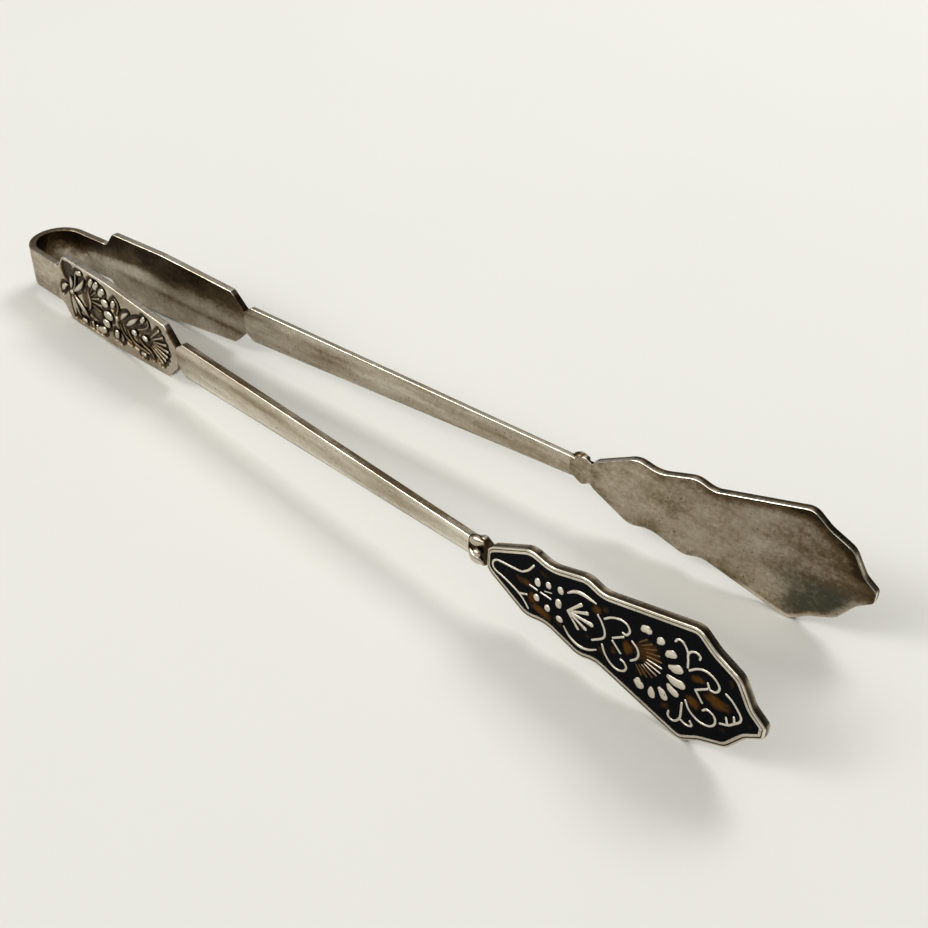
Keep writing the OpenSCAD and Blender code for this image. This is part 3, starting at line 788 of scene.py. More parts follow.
AMBER_POOLS = [
    # centre along and across, half length, half width, turn, depth of colour
    (6.0, -0.1, 2.1, 0.8, 0, 0.8), (7.5, -2.0, 0.85, 1.6, 0, 0.9),
    (9.2, -3.3, 2.3, 0.95, -6, 1.0), (11.9, -3.4, 1.1, 0.8, 0, 0.5),
    (8.9, 3.1, 1.2, 0.7, 0, 0.4), (17.3, 2.7, 1.1, 0.8, 30, 0.8),
    (18.6, 3.6, 0.7, 0.5, 60, 0.4), (16.3, -2.5, 0.8, 0.6, 0, 0.45),
    (18.9, -3.1, 0.8, 1.0, 0, 0.5), (22.3, -0.2, 0.95, 1.5, 0, 1.0),
    (20.4, -1.9, 0.8, 0.8, 0, 0.6), (25.2, 0.6, 2.6, 2.9, 0, 0.8),
    (24.6, -2.2, 1.7, 0.9, 20, 0.6), (32.1, 1.9, 1.3, 0.85, 10, 0.95),
    (32.0, -2.0, 1.4, 1.2, -20, 1.0), (35.0, 0.2, 2.1, 1.35, 5, 1.0),
    (36.2, 4.0, 0.7, 1.1, 0, 0.4), (28.6, -5.4, 1.5, 0.75, 28, 0.5),
    (36.3, -3.6, 1.0, 0.6, 0, 0.35), (39.3, 0.0, 0.6, 1.0, 0, 0.35),
    (33.4, -5.2, 0.7, 0.5, 0, 0.4),
]

# ---------------------------------------------------------------- materials


def add_node(tree, kind, links=None, **settings):
    """One node, with its settings and what feeds its inputs."""
    node = tree.nodes.new(kind)
    for key, value in settings.items():
        setattr(node, key, value)
    for key, value in (links or {}).items():
        if isinstance(value, bpy.types.NodeSocket):
            tree.links.new(value, node.inputs[key])
        else:
            node.inputs[key].default_value = value
    return node


def new_material(name):
    """An empty material, and the output that gives each point's place in the object."""
    made = bpy.data.materials.new(name)
    made.use_nodes = True
    made.node_tree.nodes.clear()
    return made, add_node(made.node_tree, "ShaderNodeTexCoord").outputs["Object"]


def finished(made, sockets):
    """Ends a material with the shader that has these sockets."""
    shader = add_node(made.node_tree, "ShaderNodeBsdfPrincipled", sockets)
    add_node(made.node_tree, "ShaderNodeOutputMaterial", {"Surface": shader.outputs[0]})
    return made


def per_metre(mm):
    """Noise scale that makes features about this size."""
    return 1.0 / (mm * MM)


def calc(tree, operation, a, b, clamp=False):
    return add_node(tree, "ShaderNodeMath", {0: a, 1: b}, operation=operation,
                    use_clamp=clamp).outputs[0]


def noise(tree, vector, mm, detail, roughness=0.5):
    return add_node(tree, "ShaderNodeTexNoise",
                    {"Vector": vector, "Scale": per_metre(mm), "Detail": detail,
                     "Roughness": roughness}).outputs["Fac"]


def stretched(tree, vector, x=1.0, y=1.0):
    return add_node(tree, "ShaderNodeMapping",
                    {"Vector": vector, "Scale": (x, y, 1.0)}).outputs["Vector"]


def painted_on(tree, attribute):
    return add_node(tree, "ShaderNodeAttribute", attribute_name=attribute).outputs["Fac"]


def spots(tree, vector, mm, core, rim, rare, common):
    """Round spots, 1 up to core and 0 from rim on, in those cells whose number is high."""
    cells = add_node(tree, "ShaderNodeTexVoronoi",
                     {"Vector": vector, "Scale": per_metre(mm), "Randomness": 1.0})
    return calc(tree, "MULTIPLY", ramp(tree, cells.outputs["Distance"], core, rim, 1.0, 0.0),
                ramp(tree, cells.outputs["Color"], rare, common))


def bumped(tree, height, strength, mm, **more):
    return add_node(tree, "ShaderNodeBump",
                    {"Strength": strength, "Distance": mm * MM, "Height": height,
                     **more}).outputs["Normal"]


def ramp(tree, source, low, high, to_low=0.0, to_high=1.0):
    return add_node(tree, "ShaderNodeMapRange",
                    {"Value": source, "From Min": low, "From Max": high, "To Min": to_low,
                     "To Max": to_high}, clamp=True).outputs["Result"]


def blend_colour(tree, factor, a, b):
    node = add_node(tree, "ShaderNodeMix", data_type="RGBA")
    for index, value in ((0, factor), (6, a), (7, b)):
        if isinstance(value, bpy.types.NodeSocket):
            tree.links.new(value, node.inputs[index])
        else:
            node.inputs[index].default_value = value
    return node.outputs[2]


def aged_silver(name, film="dull", brown="tarnish", rough=0.3, tarnish=0.0, grain=1.0,
                patina=None, cloud=6.0, cloudy=0.6, stretch=0.5):
    """Sterling silver, rolled and struck, then rubbed by two centuries of hands: a warm,
    satin metal with a thin sulphide film in clouds, brown in the hollows, fine hairlines
    and small pits. tarnish adds to what is painted on the piece as "tarnish", which on
    some pieces also holds painted shade, and on the blades a painted highlight."""
    made, where = new_material(name)
    tree, brown = made.node_tree, colour(brown)
    clouds = noise(tree, stretched(tree, where, stretch), cloud, 6.0, 0.66)
    speckle = noise(tree, where, 0.7, 6.0, 0.7)
    film_amount = calc(tree, "ADD", ramp(tree, clouds, 0.36, 0.68, 0.0, cloudy),
                       ramp(tree, speckle, 0.36, 0.68, -0.08, 0.16), clamp=True)
    base = blend_colour(tree, film_amount, colour("silver"), colour(film))
    uneven = calc(tree, "MULTIPLY", ramp(tree, speckle, 0.32, 0.68, 0.82, 1.18),
                  ramp(tree, clouds, 0.32, 0.7, 1 - 0.7 * cloudy, 1 + 0.5 * cloudy))
    painted = painted_on(tree, "tarnish")
    film_with_painted_light = calc(tree, "MULTIPLY", calc(tree, "ADD", painted, tarnish), uneven, clamp=True)
    # a thin film is golden, a thick one brown
    base = blend_colour(tree, ramp(tree, film_with_painted_light, 0.05, 0.6), base, colour("toned"))
    base = blend_colour(tree, ramp(tree, film_with_painted_light, 0.4, 1.05), base, brown)
    if patina:
        # a green-blue bloom where damp has sat
        bloom = calc(tree, "MULTIPLY", painted_on(tree, "patina"), uneven, clamp=True)
        base = blend_colour(tree, bloom, base, colour(patina))
    # saw and file marks run across the cut edges, about 0.4 mm apart, in some places only
    marks = ramp(tree, noise(tree, stretched(tree, where, y=0.07), 0.5, 4.0, 0.65), 0.4, 0.66)
    # on a blade the painted "edge" is raised in the hollows of the outline, where the darker marks
    # are painted shade
    marks = calc(tree, "MULTIPLY", marks, painted_on(tree, "edge"))
    here = ramp(tree, noise(tree, where, 5.0, 1.0), 0.42, 0.6, 0.15, 1.0)
    base = blend_colour(tree, calc(tree, "MULTIPLY", marks, here), base, brown)
    # pits about 0.25 mm across, 1.4 mm apart, drawn coarser than real so that they show
    pits = spots(tree, where, 0.9, 0.06, 0.2, 0.58, 0.66)
    base = blend_colour(tree, calc(tree, "MULTIPLY", pits, 0.75), base, brown)
    shine = ramp(tree, speckle, 0.3, 0.7, rough - 0.07, rough + 0.08)
    # a negative tarnish is an edge rubbed smooth
    shine = calc(tree, "ADD", shine, ramp(tree, painted, -0.5, 0.0, -0.12, 0.0))
    shine = calc(tree, "ADD", shine, ramp(tree, film_with_painted_light, 0, 1, 0.0, 0.14))
    # hairlines of polishing run along the arm
    lines = noise(tree, stretched(tree, where, 0.06), 0.25, 3.0, 0.6)
    height = calc(tree, "ADD", ramp(tree, speckle, 0.2, 0.8, 0, 0.22 * grain),
                  ramp(tree, lines, 0.3, 0.7, 0, 0.3 * grain))
    height = calc(tree, "SUBTRACT", height, pits)
    soft = bumped(tree, noise(tree, where, 9.0, 1.0), 0.35, 0.5)
    return finished(made, {"Base Color": base, "Metallic": 1.0, "Roughness": shine,
                           "Normal": bumped(tree, height, 0.3, 0.03, Normal=soft)})


def fused_enamel(name, pool=None, rough=0.09):
    """Opaque glass enamel, fired and stoned level: a deep gloss with faint scratches, pin
    holes and a few trapped specks. A pool of amber glass fades into the black ground."""
    made, where = new_material(name)
    tree, base = made.node_tree, colour("black")
    fine = noise(tree, where, 0.8, 7.0, 0.72)
    if pool:
        # the shore of a pool breaks up into the ground
        ragged = ramp(tree, noise(tree, where, 1.8, 5.0), 0.3, 0.7, -0.28, 0.22)
        grainy = ramp(tree, fine, 0.3, 0.7, -0.3, 0.2)
        depth = calc(tree, "ADD", calc(tree, "ADD", painted_on(tree, "pool"), ragged), grainy)
        base = blend_colour(tree, ramp(tree, depth, 0.2, 1.2), base, colour(pool))
    dots = calc(tree, "MULTIPLY", spots(tree, where, 2.6, 0.03, 0.075, 0.8, 0.84), 0.35)
    base = blend_colour(tree, dots, base, (0.35, 0.36, 0.38, 1.0))
    return finished(made, {"Base Color": base, "IOR": 1.52, "Specular IOR Level": 0.02,
                           "Roughness": ramp(tree, fine, 0.35, 0.75, rough, rough + 0.16),
                           "Normal": bumped(tree, fine, 0.12, 0.05)})


def white_card(name):
    """Matt white card: pale, warm, no visible grain."""
    made, where = new_material(name)
    tone = colour("floor")
    shade = tuple(0.97 * c for c in tone[:3]) + (1.0,)
    base = blend_colour(made.node_tree, noise(made.node_tree, where, 60.0, 2.0), tone, shade)
    return finished(made, {"Base Color": base, "Roughness": 0.85, "Specular IOR Level": 0.2})


FINISHES = {
    "strip": (aged_silver, "tarnished rolled silver", dict(rough=0.26, tarnish=0.06, cloudy=0.75)),
    "ground": (aged_silver, "oxidised struck silver", dict(rough=0.27, tarnish=0.04, cloud=5.0)),
    "relief": (aged_silver, "rubbed relief silver", dict(tarnish=0.16, grain=0.5, cloudy=0.2)),
    "shank": (aged_silver, "satin worn silver",
              dict(rough=0.24, tarnish=0.03, cloudy=0.75, cloud=2.2, stretch=0.09)),
    "blade": (aged_silver, "satin blade silver",
              dict(rough=0.24, tarnish=0.02, patina="patina", cloud=4.0, cloudy=0.42,
                   stretch=0.45)),
    "inlay": (aged_silver, "bright inlaid silver",
              dict(film="silver", brown="amber", grain=0.5, cloudy=0.15)),
    "black": (fused_enamel, "black fused enamel", {}),
    "amber": (fused_enamel, "amber fused enamel", dict(pool="amber")),
    "floor": (white_card, "matt white card", {}),
}
_made = {}


def material(kind):
    """Each finish is made once."""
    if kind not in _made:
        maker, name, settings = FINISHES[kind]
        _made[kind] = maker(name, **settings)
    return _made[kind]


# ---------------------------------------------------------------- pieces


def section(width, thick, round_, n_flat, n_corner):
    """Points once round a flat bar with rounded edges, as (across, out), from the middle of
    its inner face. The same count of points for every size."""
    half, r = width / 2 - round_, round_
    pts = [(half * k / n_flat, 0.0) for k in range(n_flat + 1)]
    for a in np.linspace(-90, 0, n_corner + 1)[1:]:
        pts.append((half + r * math.cos(math.radians(a)), r + r * math.sin(math.radians(a))))
    for a in np.linspace(0, 90, n_corner + 1):
        pts.append((half + r * math.cos(math.radians(a)),
                    thick - r + r * math.sin(math.radians(a))))
    pts += [(half * (1 - k / n_flat), thick) for k in range(1, n_flat + 1)]
    right = np.array(pts)
    left = right[::-1][1:] * [-1, 1]
    return np.vstack([right, left])


def flat_bar(name, start, along, width_at, edge, counts, dress):
    """A bar of the stock with its long edges rounded. along(u) is the distance from its
    start, and dress(x, w, across, out) the height of the points that the plain bar has at
    height out. counts are those along, and across the flat and the edge of the section."""
    n_along, n_flat, n_corner = counts
    ring = section(2 + 2 * edge, sizes().stock, edge, n_flat, n_corner)
    last = len(ring) - 1

    def place(u, v):
        x = along(u)
        w = width_at(x)
        off, out = ring[np.clip(np.round(v * last).astype(int), 0, last)].T
        # the flat stretch takes up the width, and the rounded edges stay round
        half = w - edge
        across = np.where(np.abs(off) <= 1.0, off * half,
                          np.sign(off) * (half + np.abs(off) - 1))
        return np.stack([start + x, across, dress(x, w, across, out)], 1)

    return rolled(name, n_along, last, place)


class TONGS_OT_bow(bpy.types.Operator):
    """Bends the spring strip into its bow, in two halves that meet at the crown"""

    bl_idname = "tongs.bow"
    bl_label = "Spring bow"

    def execute(self, context):
        s = sizes()
        across = Vector(JOINTS["front_flex"]["axis"]).normalized()
        along = Vector((0, 1, 0)).cross(across).normalized()
        front, rear = (arm_matrix(side) @ Vector((0, 0, s.stock / 2)) for side in SIDES)
        start = (front + rear) / 2
        # how far each arm opens outward
        opens = -(arm_matrix("front").to_3x3() @ Vector((1, 0, 0))).y / MM
        angle = math.asin(max(-1, min(1, opens)))
        centre_x = -s.bow_leg * math.cos(angle) + s.bow_radius * math.sin(angle)
        arc = math.pi / 2 - angle
        length = s.bow_radius * arc + s.bow_leg
        ring = section(s.bow_width, s.stock, 0.22, 10, 4)
        n_round, n_along = len(ring) - 1, 72
        turn = Matrix((along, Vector((0, 1, 0)), across)).transposed().to_4x4()
        frame_matrix = Matrix.Translation(start) @ turn @ Matrix.Scale(MM, 4)
        for side, sign in zip(SIDES, (-1, 1)):

            def place(u, v):
                run = u * length
                on_arc = run < s.bow_radius * arc
                t = np.where(on_arc, run / s.bow_radius, arc)
                rest = np.where(on_arc, 0.0, run - s.bow_radius * arc)
                normal = np.stack([-np.cos(t), np.sin(t)], 1)
                tangent = np.stack([np.sin(t), np.cos(t)], 1)
                point = np.array([centre_x, 0]) + normal * s.bow_radius + tangent * rest[:, None]
                k = np.clip(np.round(v * n_round).astype(int), 0, n_round)
                w, out = ring[k, 0], ring[k, 1] - s.stock / 2
                flat = point + normal * out[:, None]
                return np.stack([flat[:, 0], sign * flat[:, 1], w], 1)

            obj = rolled("bow", n_along, n_round, place)
            co = points_of(obj)
            # the inside of the loop stays brown, where no cloth can rub
            off = np.where(co[:, 0] < centre_x, np.hypot(co[:, 0] - centre_x, co[:, 1]),
                           np.abs(co[:, 1]) - (co[:, 0] - centre_x) * math.tan(angle))
            inside = off < s.bow_radius - s.stock / 2 + 0.05
            brown = inner_film(np.minimum(co[:, 0], 0.0), co[:, 2])
            paint(obj, "tarnish", np.where(inside, brown, 0.34 + 0.2 * ease((-4 - co[:, 0]) / 6)))
            paint(obj, "edge", (np.abs(co[:, 2]) > s.bow_width / 2 - 0.02) * 0.3)
            smooth(obj)
            finish_piece(obj, frame_matrix, "strip", f"spring_bow_{side}")
            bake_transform(obj)
            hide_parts("spring_bow")
        return {"FINISHED"}


class TONGS_OT_grip_panels(bpy.types.Operator):
    """Strikes the grip panels: flat inner face, rounded edges, and a field sunk round the relief"""

    bl_idname = "tongs.grip_panels"
    bl_label = "Grip panels"

    def execute(self, context):
        s = sizes()
        outline = rounded(panel_corners(), 4)
        width_at = half_width(outline)
        strokes = [k for group in panel_strokes().values() for k in group]
        # hollows with nothing raised in them
        hollows = [
            leaf((2.9, 5.2), (3.4, 3.4), (4.0, 1.6), w=1.3), leaf((4.6, 5.4), (4.9, 4.2), w=1.1),
            leaf((8.0, 0.9), (9.6, -1.4), w=1.4), leaf((10.2, -1.6), (12.6, -1.4), w=2.2),
        ]
        edge, near_neck = 0.25, s.panel_length - 0.7

        def dress(x, w, across, out):
            top = out > s.stock - 1e-6
            x, w, across = x[top], w[top], across[top]
            depth = ease((0.85 - nearest(np.stack([x, across], 1), strokes + hollows)) / 0.6)
            room = ease((w - np.abs(across) - 0.35) / 0.6)
            ends = ease((x - 0.2) / 1.2) * ease((near_neck - x) / 0.8)
            sunk = out.copy()
            sunk[top] -= SINK * depth * room * ends
            return sunk

        obj = flat_bar("panel", 0, lambda u: s.panel_length * u, width_at, edge, (250, 84, 4),
                       dress)

        def tarnish_and_painted_light(co, up):
            x, y, z = co.T
            # the sunk field is darker: oxide in its hollows, and painted shade at the foot of the
            # relief
            sunk = np.clip((s.stock - z) / SINK, 0, 1) * (z > 0.7)
            face = np.abs(y) < width_at(x) - edge
            # towards the neck the edges are painted dark, as painted shade on the slanted facet
            # there
            edges = 0.12 + 0.75 * ease((x - 0.93 * s.panel_length) / 0.6)
            return np.where(z < 0.02, inner_film(x, y * up),
                            np.where(face, 0.3 + 0.8 * ease(sunk * 1.3), edges))

        paint(obj, "edge", 0.35 * (from_edge(points_of(obj), outline) < 0.02))
        smooth(obj, 50)
        both_arms(obj, "grip_panel", "ground", tarnish_and_painted_light)
        return {"FINISHED"}


class TONGS_OT_relief(bpy.types.Operator):
    """Raises the foliage, flower, sprigs and shell on the grip panels"""

    bl_idname = "tongs.relief"
    bl_label = "Panel relief"

    def execute(self, context):
        s = sizes()
        level = s.stock - 0.22
        for name, strokes in panel_strokes().items():
            parts = []
            if name == "flower":
                # the ground of its half shell lies lower than the strokes
                parts.append(drawn("disc", [strokes.pop(9)], level - 0.12, 0.22))
            obj = joined(name, parts + [drawn(name, strokes, level, 0.95)])
            co = points_of(obj)
            # the broad strokes are pressed down more than the narrow ones
            co[:, 2] = level + PRESSED * np.tanh((co[:, 2] - level) / PRESSED)
            move_points(obj, co)
            paint(obj, "tarnish", ease((s.stock + 0.08 - co[:, 2]) / 0.36))
            both_arms(obj, f"panel_{name}", "relief")
        return {"FINISHED"}


class TONGS_OT_shanks(bpy.types.Operator):
    """Forges the long tapered shanks with their softened edges"""

    bl_idname = "tongs.shanks"
    bl_label = "Shanks"

    def execute(self, context):
        s = sizes()
        shoulder = 1.6
        corners = both_sides([[0, s.neck / 2, 0], [shoulder, s.shank_width / 2, 0.3],
                              [s.shank_length, s.shank_end / 2, 0]])
        width_at = half_width(rounded(corners, 6))
        n_along, near = 160, 2 * shoulder
        # more stations near the shoulders, where the outline turns
        stations = np.unique(np.concatenate([np.linspace(0, near, 41),
                                             np.linspace(near, s.shank_length, n_along - 40)]))

        def dress(x, w, across, out):
            # one long edge of the outer face is hammered down, the other only rubbed
            upper = ease((across - (w - 0.45)) / 0.45)
            lower = np.clip((-across - (w - 1.15)) / 1.15, 0, 1)
            wear = ease((out - 0.6) / 0.6) * (0.06 * upper + 0.34 * lower)
            # a shallow swelling along the middle of the outer face
            crown = 0.06 * (1 - np.clip(np.abs(across) / w, 0, 1) ** 2)
            return np.where(out > s.stock - 1e-6, out - 0.06 + crown, out) - wear

        obj = flat_bar("shank", s.panel_length,
                       lambda u: np.interp(u * n_along, np.arange(len(stations)), stations),
                       width_at, EDGE_ROUND, (n_along, 26, 6), dress)

        def tarnish_and_painted_light(co, up):
            x, y, z = co.T
            near_panel = ease((s.panel_length + 5 - x) / 5)
            w = width_at(x - s.panel_length)
            high = y * up / w
            spill = np.exp(-(((x - 50) / 5.0) ** 2) - ((high - 0.1) / 0.6) ** 2)
            inner = 0.16 + 0.12 * ease((60 - x) / 20) * high + 0.3 * spill
            inner += 0.14 * ease((x - 56) / 20)
            streak = 0.1 * np.exp(-((high - 0.35) / 0.25) ** 2)
            # the upper edge keeps a little film on both arms, and on the front arm painted shade
            # besides, where it mirrors the dim room
            edge = (y * up > w - 0.03) * (0.55 if up > 0 else 0.15)
            return np.where(z < 0.03, inner, 0.08 + 0.2 * near_panel + streak + edge)

        co = points_of(obj)
        paint(obj, "edge", (np.abs(co[:, 1]) > width_at(co[:, 0] - s.panel_length) - 0.02) * 0.25)
        smooth(obj, 35)
        both_arms(obj, "shank", "shank", tarnish_and_painted_light)
        return {"FINISHED"}


class TONGS_OT_knops(bpy.types.Operator):
    """Cuts the lobed knops and sets a bead on each"""

    bl_idname = "tongs.knops"
    bl_label = "Knops"

    def execute(self, context):
        s = sizes()
        start = s.panel_length + s.shank_length
        corners = both_sides([[0, s.shank_end / 2, 0],
                              [0.2 * s.knop_length, s.shank_end / 2 - 0.1, 0.3],
                              [0.62 * s.knop_length, s.knop_width / 2, 0.75],
                              [s.knop_length, ROOT_HALF, 0]])
        width_at = half_width(rounded(corners, 6))

        def dress(x, w, across, out):
            groove = np.exp(-(((x - 0.87 * s.knop_length) / 0.3) ** 2))
            return out - ease((out - 0.5) / 0.7) * (0.35 + 0.3 * groove)

        plate = flat_bar("knop", start, lambda u: u * s.knop_length, width_at, EDGE_ROUND,
                         (64, 14, 5), dress)
        middle = oval(start + 0.5 * s.knop_length, 0, 0.6, 0.58)
        bead = drawn("bead", [middle], s.stock + 0.12, 1.0)
        lobes = [(((start + 0.1, k * 0.75), (start + 0.9, k * 1.35), (start + 2.3, k * 1.75)),
                  (0.35, 0.85, 0.4)) for k in (1, -1)]
        lobes = drawn("lobes", lobes, s.stock - 0.35, 0.85)
        obj = joined("knop", [plate, bead, lobes])
        co = points_of(obj)
        low = ease((s.stock - co[:, 2]) / 0.35) * (co[:, 2] > 0.45)
        between = ease((0.48 * s.knop_width - np.abs(co[:, 1])) / 0.3)
        paint(obj, "tarnish", np.where(co[:, 2] < 0.03, 0.42, 0.12 + 0.88 * low * between))
        smooth(obj, 50)
        both_arms(obj, "knop", "blade")
        return {"FINISHED"}


class TONGS_OT_blades(bpy.types.Operator):
    """Sinks the blades: a tray with a raised rim, its outer line rubbed bright"""

    bl_idname = "tongs.blades"
    bl_label = "Blades"

    def execute(self, context):
        s = sizes()
        start = blade_start()
        top, floor, groove, band = s.stock, s.stock - s.tray, s.stock - 0.13, s.stock - BAND_DROP
        outline, line, trough, field = (on_blade(c) for c in (
            blade_corners(), tray_corners(RIM_LINE), tray_corners(RIM_TROUGH), tray_corners(s.rim)))
        # the outer wall runs round both of its worn corners
        turns = np.radians(np.linspace(0, 90, 5))
        corner = [(BLADE_CORNER * (1 - math.sin(t)), BLADE_CORNER * (1 - math.cos(t)))
                  for t in turns]
        drawn_by, heights = np.array(corner + [(z, top - d) for d, z in corner]).T
        rings = np.array([drawn_in(outline, d) for d in drawn_by])
        n, steps = len(outline), len(heights) - 1

        def place(u, v):
            i, k = np.round(u * n).astype(int) % n, np.round(v * steps).astype(int)
            return np.column_stack([rings[k, i], heights[k]])

        pieces = [rolled("walls", n, steps, place, close=False)]
        # each step of the rim is a level ring and the wall inside it
        for loops, z in (([rings[0]], 0), ([rings[0], line], top), ([line, trough], groove),
                         ([trough, field], band), ([field], floor)):
            pieces.append(flat_face("face", loops, z))
        for loop, low, high in ((line, groove, top), (trough, groove, band),
                                (field, floor, band)):
            pieces.append(upright("wall", loop, low, high))
        obj = joined("blade", pieces)
        with editing(obj):
            bpy.ops.mesh.remove_doubles(threshold=0.002)
            bpy.ops.mesh.dissolve_degenerate(threshold=0.0005)
            bpy.ops.mesh.normals_make_consistent(inside=False)
        mesh_face(obj, 0)
        # the lines of the rim stay crisper than its outer corners
        worn(obj, 0.05, 2, harden_normals=False)

        def tarnish_and_painted_light(co, up):
            x, y, z = co.T
            u, high = x - start, y * up
            inward = from_edge(co, outline)
            # the inner face is flat, so painted shade darkens it along the rim, most under the
            # upper edge, where a dished face would turn from the light
            rim_dish_shade = ease((1.9 - inward) / 1.8)
            toward_tip = ease((u - 24) / 16)
            brow_shade = ease((u - 12) / 8) * ease((high + 1) / 4)
            inner = 0.38 + 0.26 * toward_tip + (0.1 + 0.2 * toward_tip + 0.3 * brow_shade) * rim_dish_shade
            # a lighter band along the lower edge near the tip is a painted highlight, for a lip
            # that the flat face does not have
            lip_highlight = ease((0.8 - inward) / 0.3) * ease(-high / 2) * ease((u - 22) / 4)
            trough_floor = (z > 0.9) & (z < groove + 0.02)
            corner = (inward < 0.21) & ((z > top - 0.2) | (z < 0.2) & (z > 0.02))
            return np.select([corner, z < 0.02, trough_floor, inward < 0.01],
                             [-0.3, inner * (1 - 0.8 * lip_highlight), 1.0, 0.2], 0.06)

        co = points_of(obj)
        u, inward = co[:, 0] - start, from_edge(co, outline)
        # file marks run all round the wall, and in the hollows of the outline they are raised into
        # painted shade
        hollow_shade = sum(np.exp(-((u - k * s.blade_length) / 1.3) ** 2) for k in (0.2, 0.43, 0.8, 0.87))
        paint(obj, "edge", (0.4 + 0.8 * np.clip(hollow_shade, 0, 1)) * (inward < 0.01))
        paint(obj, "patina", 0.6 * ease((u - 27) / 6) * ease((co[:, 1] + 1) / 4)
              * (co[:, 2] < 0.02) * ease((inward - 0.7) / 0.5))
        both_arms(obj, "blade", "blade", tarnish_and_painted_light)
        return {"FINISHED"}


class TONGS_OT_enamel(bpy.types.Operator):
    """Fires the black ground and its amber pools into the trays"""

    bl_idname = "tongs.enamel"
    bl_label = "Enamel"

    def execute(self, context):
        s = sizes()
        level = s.stock - s.enamel_drop
        # its underside stands off the metal by a hair
        field = on_blade(tray_corners(s.rim))
        obj = sheet_metal("ground", [field], s.stock - s.tray + 0.002, level)
        close_up(obj)
        worn(obj, 0.07, 3)
        both_arms(obj, "black_enamel", "black")
        pools = []
        for i, (x, y, a, b, turn, _) in enumerate(AMBER_POOLS):
            bpy.ops.mesh.primitive_uv_sphere_add(segments=40, ring_count=24, radius=1)
            pool = added(f"pool{i}")
            co = points_of(pool)
            edge = shore(np.arctan2(co[:, 1], co[:, 0]), i)
            dx, dy = co[:, 0] * a * edge * POOL_SHORE, co[:, 1] * b * edge * POOL_SHORE
            c, n = math.cos(math.radians(turn)), math.sin(math.radians(turn))
            px, py = x + dx * c - dy * n, y + dx * n + dy * c
            move_points(pool, np.stack([blade_start() + px, py, level - 0.03 + 0.04 * co[:, 2]], 1))
            paint(pool, "pool", pool_field(px, py))
            pools.append(pool)
        obj = joined("pools", pools)
        only(obj)
        bpy.ops.object.shade_smooth()
        both_arms(obj, "amber_enamel", "amber")
        return {"FINISHED"}


class TONGS_OT_inlay(bpy.types.Operator):
    """Lays the silver wires, flower and seeds into the enamel"""

    bl_idname = "tongs.inlay"
    bl_label = "Silver inlay"

    def execute(self, context):
        s = sizes()
        level = s.stock - s.enamel_drop
        groups = {
            name: [([np.array(p, float) + [blade_start(), 0] for p in guide], r)
                   for guide, r in strokes]
            for name, strokes in blade_strokes().items()
        }
        made = {
            "scroll_wires": [drawn("wires", groups["wires"], level - 0.01, 0.55)],
            "enamel_flower": [drawn("rays", groups["rays"], level - 0.01, 0.6),
                              drawn("clubs", groups["clubs"], level - 0.02, 0.4),
                              drawn("petals", groups["petals"], level - 0.03, 0.26)],
            "seed_beads": [drawn("seeds", groups["seeds"], level - 0.03, 0.32)],
        }
        for name, objects in made.items():
            for piece in objects:
                co = points_of(piece)
                tint = 0.75 * ease((level + 0.03 - co[:, 2]) / 0.05)
                if piece.name.startswith("rays"):
                    # only the middle rays are rubbed bright
                    tint = np.maximum(tint, 0.85 * ease((np.abs(co[:, 1] + 0.5) - 0.5) / 0.9))
                paint(piece, "tarnish", tint)
            obj = joined(name, objects)
            both_arms(obj, name, "inlay")
        return {"FINISHED"}


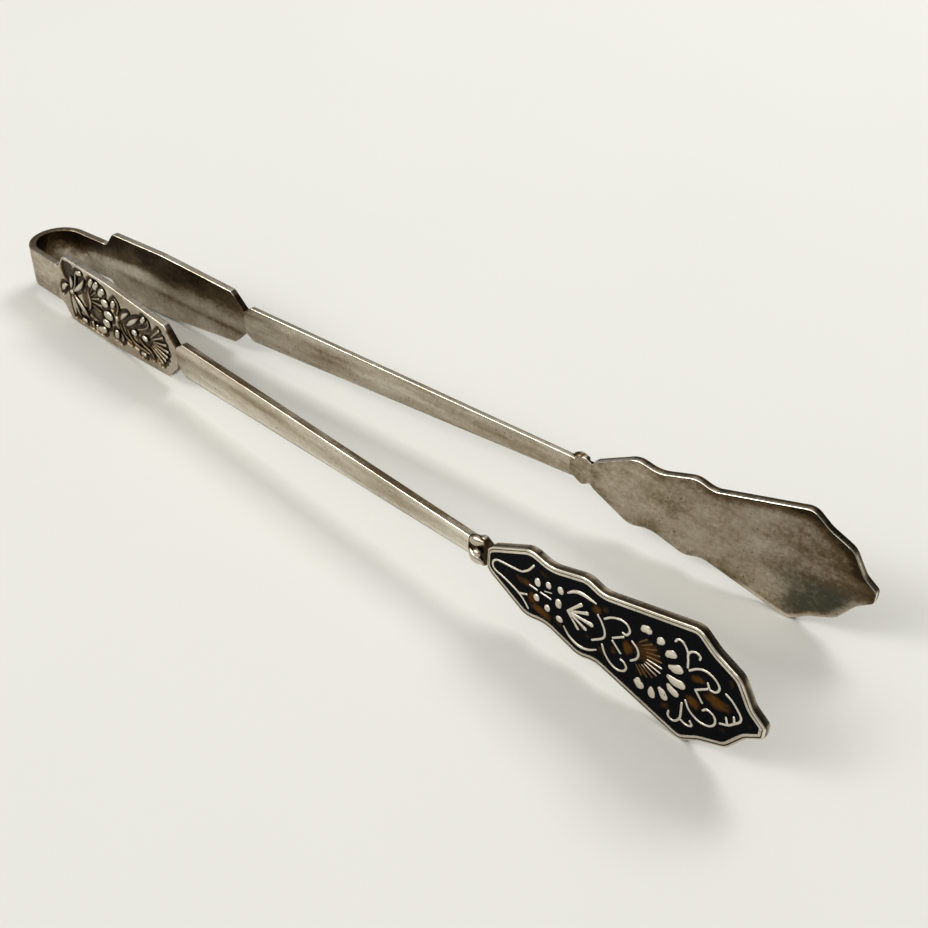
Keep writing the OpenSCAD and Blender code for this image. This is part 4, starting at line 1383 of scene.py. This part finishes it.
class TONGS_OT_stage(bpy.types.Operator):
    """Sets the floor, the lights and the camera"""

    bl_idname = "tongs.stage"
    bl_label = "Stage"

    def execute(self, context):
        scene = context.scene
        deselect()
        bpy.ops.mesh.primitive_plane_add(size=6, location=(0, 0, CAD_BOX[0].z))
        floor = added("floor")
        floor.data.materials.append(material("floor"))
        for name, place, size, power, tint in (
            ("key", (0.0, 0.62, 0.8), (0.4, 0.4), 3.8, (1.0, 1.0, 0.985)),
            ("window", (-0.62, -0.8, 0.78), (0.4, 0.4), 3.6, (1.0, 1.0, 1.0)),
            # a long tube beside the table draws the bright line on every upper corner
            ("tube", (-0.35, -0.56, 0.57), (1.5, 0.3), 5.6, (1.0, 1.0, 1.0)),
        ):
            bpy.ops.object.light_add(type="AREA", location=place)
            light = bpy.context.active_object
            light.name = light.data.name = name
            light.data.shape = "RECTANGLE"
            light.data.size, light.data.size_y = size
            light.data.energy, light.data.color = power, tint
            across = 0.02 if name != "tube" else place[0]
            aim = (Vector((across, 0, 0)) - Vector(place)).to_track_quat("-Z", "Y")
            light.rotation_euler = aim.to_euler()
            # the key gives the floor its shadows; what the metal mirrors is the room
            light.visible_glossy = name != "key"
            light.visible_diffuse = name != "tube"
        world = bpy.data.worlds.new("studio")
        scene.world = world
        world.use_nodes = True
        tree = world.node_tree
        tree.nodes.clear()
        way = add_node(tree, "ShaderNodeTexCoord").outputs["Generated"]

        def glow(direction, start, end, gain):
            towards = add_node(tree, "ShaderNodeVectorMath", {0: way, 1: direction},
                               operation="DOT_PRODUCT").outputs["Value"]
            return ramp(tree, towards, start, end, 0.0, gain)

        # a dim room with a bright ceiling, a lamp behind, a window to the left and a dark
        # doorway to the right
        room = 0.24
        for bright in (((0.0, 0.0, 1.0), 0.05, 0.55, 0.2), ((0.0, 0.0, 1.0), 0.74, 1.0, 0.8),
                       ((-0.38, 0.62, 0.69), 0.93, 0.99, 0.55),
                       ((-0.45, -0.62, 0.64), 0.93, 0.985, 3.0)):
            room = calc(tree, "ADD", room, glow(*bright))
        doorway = glow((0.5, 0.62, 0.6), 0.82, 0.94, 0.93)
        room = calc(tree, "MULTIPLY", room, calc(tree, "SUBTRACT", 1.0, doorway))
        sky = add_node(tree, "ShaderNodeBackground",
                       {"Color": (1.0, 0.995, 0.985, 1.0),
                        "Strength": calc(tree, "MULTIPLY", room, 0.82)})
        out = add_node(tree, "ShaderNodeOutputWorld")
        tree.links.new(sky.outputs[0], out.inputs["Surface"])
        scene.view_settings.view_transform = "Standard"
        deselect()
        bpy.ops.object.camera_add()
        camera = bpy.context.active_object
        camera.name = camera.data.name = "camera"
        camera.data.sensor_width = 36.0
        camera.data.lens = 49.1
        camera.data.clip_start = 0.01
        right = Vector((0.772735, 0.633218, 0.043770))
        down = Vector((0.425314, -0.465368, -0.776235))
        forward = Vector((-0.471157, 0.618440, -0.628922))
        turn = Matrix((right, -down, -forward)).transposed().to_4x4()
        camera.matrix_world = Matrix.Translation((0.102409, -0.108258, 0.119208)) @ turn
        scene.camera = camera
        return {"FINISHED"}


PIECES = (TONGS_OT_stage, TONGS_OT_bow, TONGS_OT_grip_panels, TONGS_OT_relief, TONGS_OT_shanks,
          TONGS_OT_knops, TONGS_OT_blades, TONGS_OT_enamel, TONGS_OT_inlay)


class TONGS_PT_sidebar(bpy.types.Panel):
    """Lists the pieces of the tongs, with their sizes and colours"""

    bl_label = "Enamelled Spring Tongs"
    bl_idname = "TONGS_PT_sidebar"
    bl_space_type = "VIEW_3D"
    bl_region_type = "UI"
    bl_category = "Tongs"

    def draw(self, context):
        for piece in PIECES:
            self.layout.operator(piece.bl_idname)
        for group in (context.scene.tongs_sizes, context.scene.tongs_colours):
            box = self.layout.box()
            for key in group.__annotations__:
                box.prop(group, key)


CLASSES = (TongsSizes, TongsColours) + PIECES + (TONGS_PT_sidebar,)


def register():
    for cls in CLASSES:
        bpy.utils.register_class(cls)
    bpy.types.Scene.tongs_sizes = bpy.props.PointerProperty(type=TongsSizes)
    bpy.types.Scene.tongs_colours = bpy.props.PointerProperty(type=TongsColours)


def unregister():
    del bpy.types.Scene.tongs_colours
    del bpy.types.Scene.tongs_sizes
    for cls in reversed(CLASSES):
        bpy.utils.unregister_class(cls)


def main():
    register()
    for piece in PIECES:
        group, name = piece.bl_idname.split(".")
        getattr(getattr(bpy.ops, group), name)()


if __name__ == "__main__":
    main()
